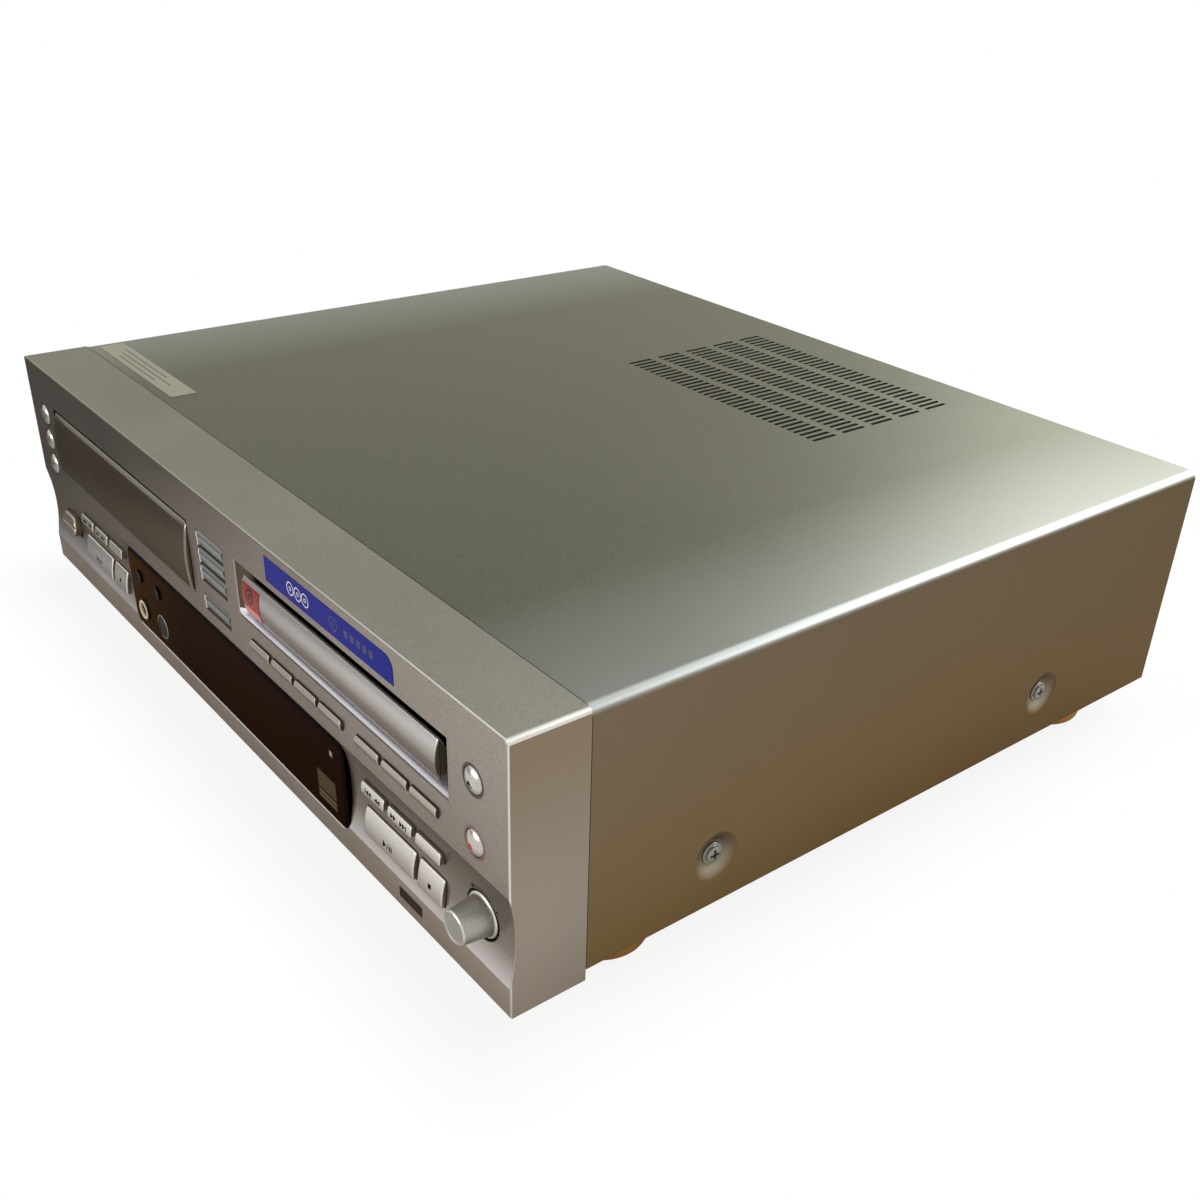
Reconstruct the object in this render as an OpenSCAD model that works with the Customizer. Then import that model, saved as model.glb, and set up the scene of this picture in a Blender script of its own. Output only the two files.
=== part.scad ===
// Disc changer and recorder deck: a hi-fi component with two disc drawers, keys, knobs and inner works.
// x runs to the right, y to the back and z up; lengths are millimetres. The origin is on the floor,
// under the middle of the whole box. "Drop" is a distance below the top, "inset" one from a side edge.

/* [Case] */
// Width of the front panel and of the cover
body_w = 420; // [412:1:440]
// Height from the floor to the top
body_h = 117; // [114:0.5:128]
// Depth from the front plane to the rear edge of the cover
body_d = 360; // [350:1:400]
// Thickness of the cover sheet
cover_t = 1; // [0.8:0.1:1.4]
// Outer radius of the cover's two top bends
cover_bend_r = 4; // [3:0.5:6]
// Gap between the front panel and the cover
cover_gap = 0.3; // [0.2:0.1:0.8]
// Height of the cover's lower edge and of the chassis above the floor
chassis_lift = 13.5; // [12.5:0.5:16]
// Thickness of the chassis and rear panel sheet
chassis_t = 1.2; // [1:0.1:1.6]
// Height of the chassis side flanges
flange_h = 34; // [30:1:40]
// Distance from the rear edge of the cover to the rear panel's outer face
rear_inset = 1.8; // [1.6:0.1:3]
// Gap between sheets that lie against each other
sheet_gap = 0.2; // [0.1:0.05:0.3]
// Height of the cover's lip over the rear panel
lip_drop = 12; // [11:0.5:16]
// Inset of the outer rear screws
rear_screw_inset = 42; // [30:1:60]

/* [Vents] */
// Number of slots in a row
vent_count = 33; // [20:1:36]
// Distance between slots
vent_pitch = 4.06; // [3.6:0.02:4.4]
// Width of a slot
vent_w = 2; // [1.4:0.1:2.4]
// Length of a slot
vent_l = 14.1; // [10:0.1:16]
// Number of rows
vent_rows = 5; // [3:1:5]
// Distance between rows
vent_row_pitch = 19.1; // [17:0.1:20]
// Middle of the vent field, measured from the middle of the deck
vent_x = 25.2; // [0:0.1:40]
// Distance from the rear edge to the rearmost row's rear end
vent_inset = 24; // [16:0.5:40]

/* [Front panel] */
// Depth of the panel from its face to the cover
bezel_d = 30.3; // [28:0.1:34]
// Height of the panel's lower edge above the floor
bezel_lift = 8.8; // [7:0.1:11]
// Thickness of the panel's face
face_t = 5; // [4.6:0.1:6]
// Thickness of the panel's other walls
bezel_wall = 2.6; // [2:0.1:3]
// Radius of the panel's upper side edges
bezel_edge_r = 2; // [1:0.1:2.4]
// Fine radius round the panel's face
face_edge_r = 0.7; // [0.3:0.1:1]
// Width of the pads that carry the panel under the chassis
chassis_pad_w = 12; // [8:0.5:16]
// Drop to the upper edge of the scoop across the face
scoop_drop = 58.5; // [57.5:0.1:59.5]
// Height of the scoop
scoop_h = 37; // [35:0.5:39]
// Depth of the scoop at its middle
scoop_depth = 2.2; // [1.4:0.1:2.6]

/* [Changer drawer] */
// Distance from the panel's left side to the changer opening
changer_inset = 33.05; // [31:0.05:36]
// Gap between the changer opening and the disc keys
changer_key_gap = 9.85; // [8:0.05:12]
// Height of the changer opening
changer_open_h = 32.8; // [32:0.1:34]
// Drop to the upper edge of the changer opening
changer_drop = 17.3; // [16.5:0.1:18]
// Gap round the changer door
door_gap = 1; // [0.6:0.1:1.4]
// How far the changer door's face swells out of the panel
changer_bulge = 2.1; // [1:0.1:3]
// Drop from the door's upper edge to the crest of its swell
changer_crest_drop = 18; // [16:0.5:20]
// Distance from the sides of the changer opening to its trays
changer_tray_margin = 9.25; // [8.5:0.05:11]
// Height of the lowest changer tray over the edge of the opening
tray_sill = 0.6; // [0.4:0.1:1]
// Height from one changer tray to the next
tray_pitch = 11; // [10.6:0.1:11.2]

/* [Recorder drawer] */
// Distance from the panel's right side to the recess round the tray front
recess_inset = 33.35; // [31:0.05:36]
// Gap between the recess and the disc keys
recess_key_gap = 10.95; // [9:0.05:13]
// Height of the recess
recess_h = 23.2; // [22.5:0.1:24]
// Drop to the upper edge of the recess
recess_drop = 16.7; // [16.2:0.1:17.2]
// Depth of the recess
recess_d = 5; // [4.6:0.1:6]
// Gap round the tray front at the back of the recess, whose walls slope inwards
recess_back_gap = 0.8; // [0.6:0.1:2]
// Thickness of the recess's back wall
recess_wall = 2; // [1.6:0.1:2.4]
// Gap at both ends of the tray front
front_margin = 6.35; // [5:0.05:8]
// Height of the tray front
front_h = 16; // [15:0.1:17]
// Drop to the middle of the tray front
front_drop = 29; // [28.6:0.1:29.4]
// How far the tray front's crest stands out of the panel
front_crest = 0.9; // [0:0.1:1.6]
// Height of the swell across the tray front
front_bulge = 1.6; // [0.8:0.1:2]
// Gap between the tray front's back and the recess's back wall
front_back_gap = 0.8; // [0.6:0.1:1]
// Height of the recorder tray over the tray front's lower edge
tray_rise = 1; // [0.8:0.1:1.4]
// Room over the recorder tray in its slot
tray_room = 4.4; // [4:0.1:5]
// Distance from the ends of the recess to the recorder tray
recorder_tray_margin = 10.85; // [10:0.05:12]

/* [Trays and loading] */
// Radius of a disc
disc_r = 60; // [60:0.5:61]
// Room round a disc in its well
disc_room = 0.6; // [0.4:0.1:1]
// Depth of a disc well
well_depth = 3; // [2.4:0.1:3.2]
// Radius of the inner well for small discs
small_disc_r = 40.5; // [40:0.5:42]
// Depth of the inner well below the main well
small_well_depth = 0.8; // [0.6:0.1:1.2]
// Thickness of a tray
tray_t = 6; // [5.6:0.1:6.4]
// Length of a tray
tray_l = 168; // [165:0.5:172]
// Distance from the front plane to the middle of a disc
disc_v = 84; // [82:0.5:88]
// Radius of the tray's hole over the spindle
hub_hole_r = 18; // [16:0.5:20]
// Width of the tray's slot over the pickup
laser_slot_w = 34; // [30:0.5:38]
// Width of the rim that the pickup's slot leaves at the rear of a well
slot_rim = 4; // [3:0.5:6]
// Step between the drawer tray and the trays behind the door
stock_step = 4; // [3:0.5:5]
// Distance that a drawer slides out
drawer_travel = 138; // [130:1:138]
// Running gap between a tray and its rails
rail_gap = 0.3; // [0.2:0.05:0.5]
// Module of the loading gears and racks
gear_module = 1; // [0.9:0.05:1]
// Teeth of a loading gear
gear_teeth = 14; // [12:1:16]
// Play between meshing teeth
gear_play = 0.35; // [0.25:0.05:0.5]
// Height of the rack and thickness of the gear
gear_h = 2.6; // [2:0.1:3]
// Distance from the front plane to a loading gear's axis
gear_v = 26; // [25:0.5:27]
// Room between the rack's teeth and the frame's wall
rack_room = 0.5; // [0.4:0.1:0.8]
// Radius of the pin under a loading gear
gear_pin_r = 1.5; // [1.2:0.1:2]

/* [Mechanism frames] */
// Distance from the front plane to the frames
frame_v = 16.5; // [16:0.5:17]
// Length of the frames
frame_l = 162; // [158:1:166]
// Thickness of the frames' walls
frame_t = 2; // [1.6:0.1:2.4]
// Thickness of the frames' base plates
plate_t = 2.5; // [2:0.1:3]
// Room under the lowest tray for the spindle and pickup
works_h = 8; // [7.6:0.1:9]
// Width of a rail under a tray's edge
rail_w = 3.4; // [3:0.1:4]
// Radius of the frames' posts
post_r = 4; // [3:0.5:5]
// Radius of a spindle shaft
shaft_r = 1.5; // [1.2:0.1:2]
// Radius of a spindle's turntable
turntable_r = 14; // [12:0.5:15]
// Thickness of a spindle's turntable
turntable_t = 2.6; // [2:0.1:3]
// Room between the hub and the lowest tray
hub_room = 2.1; // [1.6:0.1:2.6]
// Radius of the hub that centres a disc
hub_r = 7.2; // [7:0.05:7.4]
// Thickness of the motor's floor under the shaft
motor_floor = 2; // [1.5:0.1:2.4]
// Radius of the spindle motor
motor_r = 11; // [9:0.5:13]
// Radius of the pickup's guide rods
rod_r = 1.2; // [1:0.1:1.5]
// Half the distance between the guide rods
rod_x = 17; // [15.5:0.5:18]
// Height of the guide rods over the base plate
rod_lift = 2.4; // [2.2:0.1:2.8]
// Distance from the spindle to the guide rods' end blocks
rod_start = 12; // [11:0.5:13]
// Length of an end block
rod_block_l = 3; // [2:0.5:4]
// Width of an end block
rod_block_w = 6; // [5:0.5:7]
// Length of a pickup
pickup_l = 20; // [16:0.5:22]
// Radius of a pickup's lens
lens_r = 3; // [2:0.5:4]
// Height of a pickup's lens
lens_h = 1.6; // [1:0.1:1.8]
// Distance that a pickup travels
pickup_travel = 34; // [30:1:36]
// Room at both ends of a pickup's travel
pickup_room = 1; // [0.6:0.1:2]
// Thickness of a pickup over its guide rods
sled_cap = 1.4; // [1:0.1:1.6]
// Clearance of a turning or sliding fit
run_gap = 0.08; // [0.04:0.02:0.14]

/* [Keys] */
// Gap round every button and key in its hole
key_gap = 0.3; // [0.2:0.05:0.4]
// Travel of every button and key
key_travel = 0.8; // [0.5:0.1:1]
// Width of the lip that keeps a key behind the face
lip_w = 0.8; // [0.6:0.1:0.9]
// Thickness of that lip
lip_t = 1.2; // [1:0.1:1.6]
// Gap between a lip and the back of the face
lip_gap = 0.1; // [0.05:0.05:0.2]
// Crown of a disc key's ridge
disc_key_bulge = 1.2; // [0.8:0.1:1.6]
// Crown of a small key
small_key_bulge = 0.5; // [0.3:0.1:0.8]
// Radius of the fine edges of the keys
key_edge_r = 0.4; // [0.2:0.1:0.5]
// Inset of the round changer buttons
round_left_inset = 19.4; // [18:0.1:20]
// Inset of the round recorder buttons
round_right_inset = 19; // [18:0.1:20]
// Radius of a round button
round_r = 4.9; // [4.4:0.1:5.2]
// How far a round button's dome stands out
round_out = 1.6; // [0.8:0.1:2.2]
// Drop of the first round changer button
changer_button_drop = 24.6; // [23:0.1:26]
// Height from one round changer button to the next
changer_button_pitch = 12.75; // [12.6:0.05:12.9]
// Drop of the recorder's open button
open_button_drop = 24.4; // [23:0.1:26]
// Drop of the record button
record_button_drop = 48.1; // [46:0.1:49]
// Middle of the disc keys, measured from the middle of the deck
centre_x = 2.2; // [1.6:0.1:2.8]
// Width of a disc key
disc_key_w = 23.6; // [22:0.1:24.4]
// Height from one disc key to the next
disc_key_pitch = 7.6; // [7.4:0.1:7.8]
// Drop of the first disc key
disc_key_drop = 20.9; // [20.4:0.1:21.4]
// Drop of the fourth disc key, which stands apart
last_disc_key_drop = 49.4; // [48.8:0.1:49.8]
// How far a disc key's ridge stands out
disc_key_out = 0.6; // [0.2:0.1:1.2]
// Gap between the disc keys and the first program key
program_key_gap = 19.8; // [18:0.1:22]
// Gap between the last program key and the mode keys
program_mode_gap = 10.2; // [9:0.1:13]
// Gap between neighbouring program keys
program_key_space = 2.4; // [2:0.1:3]
// Gap between neighbouring mode keys
mode_key_space = 2.3; // [1.8:0.1:3]
// Height of a small key
small_key_h = 4; // [3.4:0.1:4.6]
// Drop to the middle of the small keys
small_key_drop = 49.5; // [48.7:0.1:50.3]
// How far a small key stands out
small_key_out = 1.4; // [0.8:0.1:2]

/* [Transport keys and power] */
// Inset of the changer's transport keys
changer_transport_inset = 73.6; // [72:0.1:76]
// Inset of the recorder's transport keys and of the mode keys above them
recorder_transport_inset = 66.7; // [65:0.1:69]
// Distance between the columns of transport keys
transport_pitch = 18.5; // [18.2:0.1:18.8]
// Gap between neighbouring transport keys
transport_key_space = 2.9; // [2.2:0.1:3.6]
// Height of an upper transport key
skip_key_h = 4.5; // [4:0.1:5]
// Drop to the upper transport keys
skip_key_drop = 69.2; // [68.6:0.1:69.8]
// Height of a lower transport key
play_key_h = 11.2; // [10.4:0.1:12]
// Drop to the lower transport keys
play_key_drop = 84.1; // [83.2:0.1:84.8]
// How far the transport keys stand out
transport_key_out = 0.4; // [0:0.1:1]
// Swell of an upper transport key's face
skip_bulge = 0.2; // [0.1:0.1:0.5]
// Distance of an upper transport key's crest below its middle
skip_crest = 1.7; // [0:0.1:2]
// Swell of a lower transport key's face
play_bulge = 0.5; // [0.3:0.1:0.9]
// Distance of a lower transport key's crest below its middle
play_crest = 5; // [0:0.1:5.2]
// Width of the power button
power_w = 17.8; // [16:0.1:18.6]
// Height of the power button
power_h = 10.3; // [9.6:0.1:11.4]
// Inset of the power button's middle
power_inset = 27.8; // [27:0.1:28.6]
// Drop to the power button's middle
power_drop = 79.7; // [78.7:0.1:80.7]
// How far the power button stands out
power_out = 2.1; // [1.2:0.1:3.2]
// Crown of the power button
power_bulge = 0.5; // [0.3:0.1:1.4]
// Distance of the power button's crest below its middle
power_crest = 4.6; // [0:0.1:4.8]
// Width of the crease across the power button
crease_w = 0.8; // [0.4:0.1:1.2]

/* [Display and knobs] */
// Gap between the changer's transport keys and the display window
window_left_gap = 9.5; // [8:0.05:11]
// Gap between the display window and the recorder's transport keys
window_right_gap = 12; // [10.5:0.05:13.5]
// Drop to the upper edge of the display window
window_drop = 59.35; // [58.8:0.05:60]
// Height of the display window's lower edge above the floor
window_lift = 19.35; // [18.8:0.05:20]
// Corner radius of the display window
window_corner_r = 5; // [3:0.5:7]
// Gap round the display window
window_gap = 0.15; // [0.1:0.05:0.3]
// Width of the flange behind the display window
window_flange = 2.4; // [1.6:0.1:2.8]
// Distances from the window's left end to the socket's and the knobs' columns
jack_columns = [12.3, 33.2]; // [11:0.1:36]
// Height of the socket row above the window's lower edge
jack_lift = 9.65; // [9:0.05:11]
// Height of the small knobs above the middle of the room over the socket row
small_knob_shift = 2.675; // [2:0.005:3]
// Radius of a small knob
small_knob_r = 3; // [2.8:0.1:4.4]
// How far a small knob stands out
small_knob_out = 1; // [0.4:0.1:2.8]
// Radius of the level knob
level_knob_r = 5; // [4:0.1:5.4]
// How far the level knob stands out
level_knob_out = 0.5; // [0.2:0.1:2.2]
// Radius of the headphone socket's bore
phones_bore_r = 3.2; // [3.18:0.01:3.3]
// Radius of the headphone socket's ring
phones_ring_r = 5.7; // [5.4:0.1:6]
// How far the ring stands out
phones_out = 1.2; // [0.8:0.1:2]
// Length of the headphone socket's bore
phones_bore_l = 30; // [26:0.5:32]
// Inset of the jog knob
jog_inset = 18.4; // [17.4:0.1:19.4]
// Drop of the jog knob
jog_drop = 77.7; // [76.7:0.1:78.7]
// Radius of the jog knob
jog_r = 6.4; // [5.5:0.1:6.8]
// How far the jog knob stands out
jog_out = 9.2; // [7.2:0.1:11.2]
// Radius of the round seat of the jog knob
jog_seat_r = 9.1; // [8.4:0.1:9.6]
// Thickness of the floor under the jog knob's seat
jog_floor_t = 1.2; // [1:0.1:1.6]
// Thickness of the jog knob's flange
jog_flange_t = 1.1; // [0.8:0.1:1.4]
// Width of the headphone socket's body
phones_body_w = 13; // [11:0.5:14]
// Step from the headphone socket's ring to its barrel
phones_step = 1; // [0.8:0.1:1.2]
// Radius of the shaft of every knob
knob_shaft_r = 2.5; // [2:0.1:3]

/* [Feet and fasteners] */
// Radius of a foot
foot_r = 17.8; // [16:0.1:19]
// Inset of the feet
foot_inset = 24; // [22:0.5:30]
// Distance from the front plane to the front feet
front_foot_v = 55; // [52:0.5:70]
// Distance from the rear edge to the rear feet
rear_foot_inset = 44; // [30:0.5:60]
// Radius of the groove round a foot
foot_groove_r = 0.6; // [0.4:0.1:1]
// Thickness of a foot's pad
pad_t = 1.2; // [0.8:0.1:2]
// Radius of a foot's pad
pad_r = 13; // [10:0.5:14]
// Distances from the front plane to the side screws
side_screw_v = [87, 275]; // [80:1:290]
// Drop of the side screws
side_screw_drop = 82; // [80:0.5:90]
// Radius of a dimple round a side screw
dimple_r = 10; // [8:0.5:12]
// Depth of a dimple
dimple_depth = 2.4; // [2:0.1:2.6]
// Radius of a screw's head
screw_head_r = 4.5; // [3.5:0.1:5]
// Thickness of a screw's head
screw_head_t = 2; // [1.4:0.1:2.2]
// Radius of a screw's shank
screw_r = 1.5; // [1.2:0.1:1.8]
// Length of a screw's shank
screw_l = 5.2; // [4:0.1:8]
// Clearance of a screw in its hole
screw_gap = 0.2; // [0.1:0.05:0.3]
// Width of the cross recess in a screw's head
cross_w = 0.9; // [0.6:0.1:1.2]

/* [Boards and sockets] */
// Distance from the face's back to the control board
board_room = 7; // [6.6:0.1:8]
// Radius of the posts under the boards
board_post_r = 3; // [2:0.5:4]
// Thickness of the circuit boards
board_t = 1.6; // [1.2:0.1:2]
// Gap between a pressed key and its switch
switch_gap = 0.4; // [0.2:0.1:0.6]
// Margin of the boards and the posts from what stands round them
board_margin = 1; // [0.6:0.1:1.4]
// Size of a switch
switch_w = 5; // [4:0.5:6]
// Height of the main board above the chassis
main_board_lift = 10; // [8:0.5:14]
// Width of the main board
main_board_w = 210; // [180:1:220]
// Distance from the loaders to the main board
main_board_gap = 30.5; // [26:0.5:40]
// Distance from the main board to the chassis's right side and to the line sockets
main_board_inset = 8; // [4:1:12]
// Width of the heat sink on the main board
heat_sink_w = 60; // [40:1:80]
// Height of the heat sink
heat_sink_h = 22; // [16:1:30]
// Radius of a capacitor
capacitor_r = 6; // [4:0.5:8]
// Height of a capacitor
capacitor_h = 18; // [12:1:24]
// Width of a chip
chip_w = 24; // [16:1:30]
// Thickness of a chip
chip_t = 2.4; // [1.6:0.1:3]
// Width of the transformer
transformer_w = 76; // [60:1:84]
// Depth of the transformer's core
transformer_d = 57; // [48:1:62]
// Height of the transformer
transformer_h = 40; // [32:1:48]
// How far the transformer's winding stands out of its core
winding_out = 8; // [6:0.5:10]
// Distance from the transformer to the rear panel
transformer_gap = 50; // [40:1:60]
// Depth of the line sockets' block behind the rear panel
socket_depth = 10; // [8:0.5:12]
// Thickness of the walls of the optical sockets and the inlet
socket_wall = 1.6; // [1.4:0.1:2]
// How far the optical sockets and the inlet stand out of the rear panel
socket_out = 1; // [0.6:0.1:1.6]
// Depth of an optical socket's mouth
optical_d = 8; // [6:0.5:9]
// Radius of the inlet's pins
inlet_pin_r = 1.2; // [1:0.1:1.3]
// How far the inlet's pins stay behind its mouth
inlet_pin_back = 3; // [2:0.5:4]
// Radius of a line socket
line_r = 4.15; // [4:0.05:4.3]
// How far the line sockets stand out of the rear panel
line_l = 8.8; // [8:0.1:10]
// Radius of the hole in a line socket
line_bore_r = 1.6; // [1.5:0.1:1.8]
// Distance between the line sockets
line_pitch = 18; // [14:0.5:20]
// Number of pairs of line sockets
line_pairs = 3; // [2:1:4]
// Inset of the line sockets' middle
line_inset = 100; // [90:1:120]
// Distance from the line sockets' middle to the optical sockets' middle
optical_gap = 80; // [65:1:90]
// Width of an optical socket
optical_w = 10; // [9:0.5:12]
// Inset of the mains inlet
inlet_inset = 60; // [50:1:80]
// Width of the mains inlet's mouth
inlet_w = 18; // [16:0.5:20]
// Height of the mains inlet's mouth
inlet_h = 10; // [9:0.5:12]
// Depth of the mains inlet's mouth
inlet_d = 12; // [10:0.5:14]
// Height of the socket row above the floor
socket_z = 48; // [44:0.5:56]

/* [Hidden] */
$fn = 64;
tiny = 0.01;

// Radius of the arc that rises by a height over half its chord
function arc_r(half_chord, rise) = (half_chord * half_chord + rise * rise) / (2 * rise);

front_y = -(body_d - rear_inset + line_l - jog_out) / 2;
half_w = body_w / 2;
chassis_half_w = half_w - dimple_depth - cover_t;
floor_z = chassis_lift + chassis_t;
inner_top = body_h - cover_t;
cover_v = bezel_d + cover_gap;
panel_v = body_d - rear_inset - chassis_t;
lip_v = body_d - rear_inset + sheet_gap;
rear_screw_z = inner_top - lip_drop / 2;
rear_screw_x = [-half_w + rear_screw_inset, 0, half_w - rear_screw_inset];

pad_x = half_w - bezel_wall - 2 * chassis_pad_w;

scoop_r = arc_r(scoop_h / 2, scoop_depth);
scoop_z = body_h - scoop_drop - scoop_h / 2;

changer_left = -half_w + changer_inset;
changer_right = centre_x - disc_key_w / 2 - changer_key_gap;
changer_x = (changer_left + changer_right) / 2;
changer_open_w = changer_right - changer_left;
changer_tray_w = changer_open_w - 2 * changer_tray_margin;
changer_open_z = body_h - changer_drop - changer_open_h;
changer_crest_z = body_h - changer_drop - door_gap - changer_crest_drop;
changer_door_r = arc_r(changer_crest_drop, changer_bulge);
changer_tray_z = changer_open_z + tray_sill;
changer_drawer_z = changer_tray_z + 2 * tray_pitch;

recess_left = centre_x + disc_key_w / 2 + recess_key_gap;
recess_right = half_w - recess_inset;
recorder_x = (recess_left + recess_right) / 2;
recess_w = recess_right - recess_left;
front_w = recess_w - 2 * front_margin;
recorder_tray_w = recess_w - 2 * recorder_tray_margin;
recess_z = body_h - recess_drop - recess_h;
front_z = body_h - front_drop;
front_r = arc_r(front_h / 2, front_bulge);
front_back_v = recess_d - front_back_gap;
recorder_tray_z = front_z - front_h / 2 + tray_rise;
recorder_slot_z = recorder_tray_z + tray_t + tray_room;
recorder_tray_left = recorder_x - recorder_tray_w / 2;
recorder_tray_right = recorder_x + recorder_tray_w / 2;

well_r = disc_r + disc_room;
pitch_r = gear_module * gear_teeth / 2;
tooth_pitch = PI * gear_module;
tooth_in = 1.2 * gear_module;
tooth_out = 0.85 * gear_module;
tooth_half = tooth_pitch / 4 - gear_play / 2;
flank = tan(20);
rack_teeth = ceil(drawer_travel / tooth_pitch) + 4;
wall_room = tooth_in + tooth_out + rack_room;

pickup_v = disc_v + rod_start + rod_block_l + pickup_room;
pickup_top = rod_lift + rod_r + sled_cap;
rod_l = 2 * rod_block_l + 2 * pickup_room + pickup_l + pickup_travel;

board_v = face_t + board_room;
board_back_v = board_v + board_t;
lip_back_v = face_t + lip_t;
main_board_v = frame_v + frame_l + main_board_gap;
main_board_l = panel_v - socket_depth - main_board_inset - main_board_v;
main_board_x = chassis_half_w - chassis_t - main_board_inset - main_board_w;
main_board_z = floor_z + main_board_lift;
switch_v = lip_back_v + key_travel + switch_gap;

changer_button_x = -half_w + round_left_inset;
recorder_button_x = half_w - round_right_inset;
jog_x = half_w - jog_inset;
jog_seat_v = face_t - jog_floor_t;
power_x = -half_w + power_inset;
power_crown_r = arc_r(power_h / 2, power_bulge);
crease_v = power_crown_r - power_out - sqrt(power_crown_r * power_crown_r - power_crest * power_crest);
line_x = half_w - line_inset;
optical_x = line_x - optical_gap;
inlet_x = -half_w + inlet_inset;
changer_transport_x = -half_w + changer_transport_inset;
recorder_transport_x = half_w - recorder_transport_inset;
transport_key_w = transport_pitch - transport_key_space;
transport_half_w = transport_pitch + transport_key_w / 2;
mode_key_w = transport_pitch - mode_key_space;

window_left = changer_transport_x + transport_half_w + window_left_gap;
window_right = recorder_transport_x - transport_half_w - window_right_gap;
window_w = window_right - window_left;
window_h = body_h - window_drop - window_lift;
window_place = [(window_left + window_right) / 2, window_lift + window_h / 2];
jack_z = window_lift + jack_lift;
small_knob_z = (body_h - window_drop + jack_z) / 2 + small_knob_shift;
jack_drops = [body_h - small_knob_z, body_h - jack_z];
jack_x = [for (d = jack_columns) window_left + d];
phones_barrel_r = phones_ring_r - phones_step;
phones_body = [jack_x[0], jack_drops[1], phones_body_w, phones_body_w];
disc_key_h = disc_key_pitch - key_gap;
play_key_w = transport_key_w + transport_pitch;

// Each entry of a row of keys is [x, drop, width, height]
changer_button_drops = [for (i = [0:2]) changer_button_drop + i * changer_button_pitch];
recorder_button_drops = [open_button_drop, record_button_drop];
disc_key_drops = concat([for (i = [0:2]) disc_key_drop + i * disc_key_pitch], [last_disc_key_drop]);
disc_keys = [for (d = disc_key_drops) [centre_x, d, disc_key_w, disc_key_h]];
program_left = centre_x + disc_key_w / 2 + program_key_gap;
program_right = recorder_transport_x - transport_pitch - mode_key_w / 2 - program_mode_gap;
program_key_pitch = (program_right - program_left + program_key_space) / 4;
program_key_w = program_key_pitch - program_key_space;
program_keys = [
    for (i = [0:3])
        [program_left + program_key_w / 2 + i * program_key_pitch, small_key_drop, program_key_w, small_key_h]
];
mode_keys = [
    for (i = [-1:1]) [recorder_transport_x + i * transport_pitch, small_key_drop, mode_key_w, small_key_h]
];
transport_x = [changer_transport_x, recorder_transport_x];
function skip_keys(x) = [
    for (i = [-1:1]) [x + i * transport_pitch, skip_key_drop, transport_key_w, skip_key_h]
];
function play_keys(x) = [
    [x - transport_pitch / 2, play_key_drop, play_key_w, play_key_h],
    [x + transport_pitch, play_key_drop, transport_key_w, play_key_h]
];
power_key = [power_x, power_drop, power_w, power_h];
round_buttons = concat(
    [for (d = changer_button_drops) [changer_button_x, d]],
    [for (d = recorder_button_drops) [recorder_button_x, d]]
);
small_keys = concat(program_keys, mode_keys);
scoop_keys = concat([for (x = transport_x) each concat(skip_keys(x), play_keys(x))], [power_key]);

transport_sides = ["changer", "recorder"];
skip_names = ["skip_back_key", "skip_forward_key", "display_key"];
play_names = ["play_key", "stop_key"];
recorder_button_names = ["recorder_open_button", "record_button"];

// Places a shape drawn with y measured from the front plane
module from_front() translate([0, front_y, 0]) children();

// Box between two opposite corners
module block(low, high) translate(low) cube(high - low);

// Profile drawn in y and z, carried along x
module along_x(x0, x1) translate([x0, 0, 0]) rotate([90, 0, 90]) linear_extrude(x1 - x0) children();

// Profile drawn in x and z, carried along y
module along_y(v0, v1) translate([0, v1, 0]) rotate([90, 0, 0]) linear_extrude(v1 - v0) children();

// Profile drawn in y and x, carried along z
module along_z(z0, z1) translate([0, 0, z0]) linear_extrude(z1 - z0) mirror([1, -1, 0]) children();

// Round bar along y
module rod_y(x, z, v0, v1, r) translate([x, v0, z]) rotate([-90, 0, 0]) cylinder(r = r, h = v1 - v0);

// Rectangle whose two corners on the low side of y are round
module nose(v0, v1, b0, b1, r) {
    translate([v0 + r, b0]) square([v1 - v0 - r, b1 - b0]);
    translate([v0, b0 + r]) square([r + tiny, b1 - b0 - 2 * r]);
    for (b = [b0 + r, b1 - r]) translate([v0 + r, b]) circle(r);
}

// Rectangle with four round corners, about its middle
module round_rect(w, h, r) {
    square([w - 2 * r, h], center = true);
    square([w, h - 2 * r], center = true);
    for (x = [-1, 1], y = [-1, 1]) translate([x * (w / 2 - r), y * (h / 2 - r)]) circle(r);
}

// Rectangle on z = z0 whose two upper corners are round
module arch(w, z0, z1, r) {
    translate([-w / 2, z0]) square([w, z1 - z0 - r]);
    translate([-w / 2 + r, z0]) square([w - 2 * r, z1 - z0]);
    for (x = [-1, 1]) translate([x * (w / 2 - r), z1 - r]) circle(r);
}

// Room for a key [x, drop, w, h], from v0 to v1, wider by a margin
module key_room(key, v0, v1, margin_x, margin_z) {
    z = body_h - key[1];
    block(
        [key[0] - key[2] / 2 - margin_x, v0, z - key[3] / 2 - margin_z],
        [key[0] + key[2] / 2 + margin_x, v1, z + key[3] / 2 + margin_z]
    );
}

// Rectangular key: a crowned cap with fine edges, and a lip behind the face
module key(k, out, bulge, lip_x, lip_z, crest = 0) {
    z = body_h - k[1];
    crown_r = arc_r(k[3] / 2, bulge);
    back_v = face_t + tiny;
    intersection() {
        along_x(k[0] - k[2] / 2, k[0] + k[2] / 2) intersection() {
            nose(-out, back_v, z - k[3] / 2, z + k[3] / 2, key_edge_r);
            translate([crown_r - out, z - crest]) circle(crown_r, $fn = 200);
        }
        along_z(z - k[3], z + k[3])
            nose(-out - tiny, back_v, k[0] - k[2] / 2, k[0] + k[2] / 2, key_edge_r);
    }
    key_room(k, face_t + lip_gap, lip_back_v, lip_x, lip_z);
    key_room(k, face_t, lip_back_v, 0, 0);
}

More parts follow.
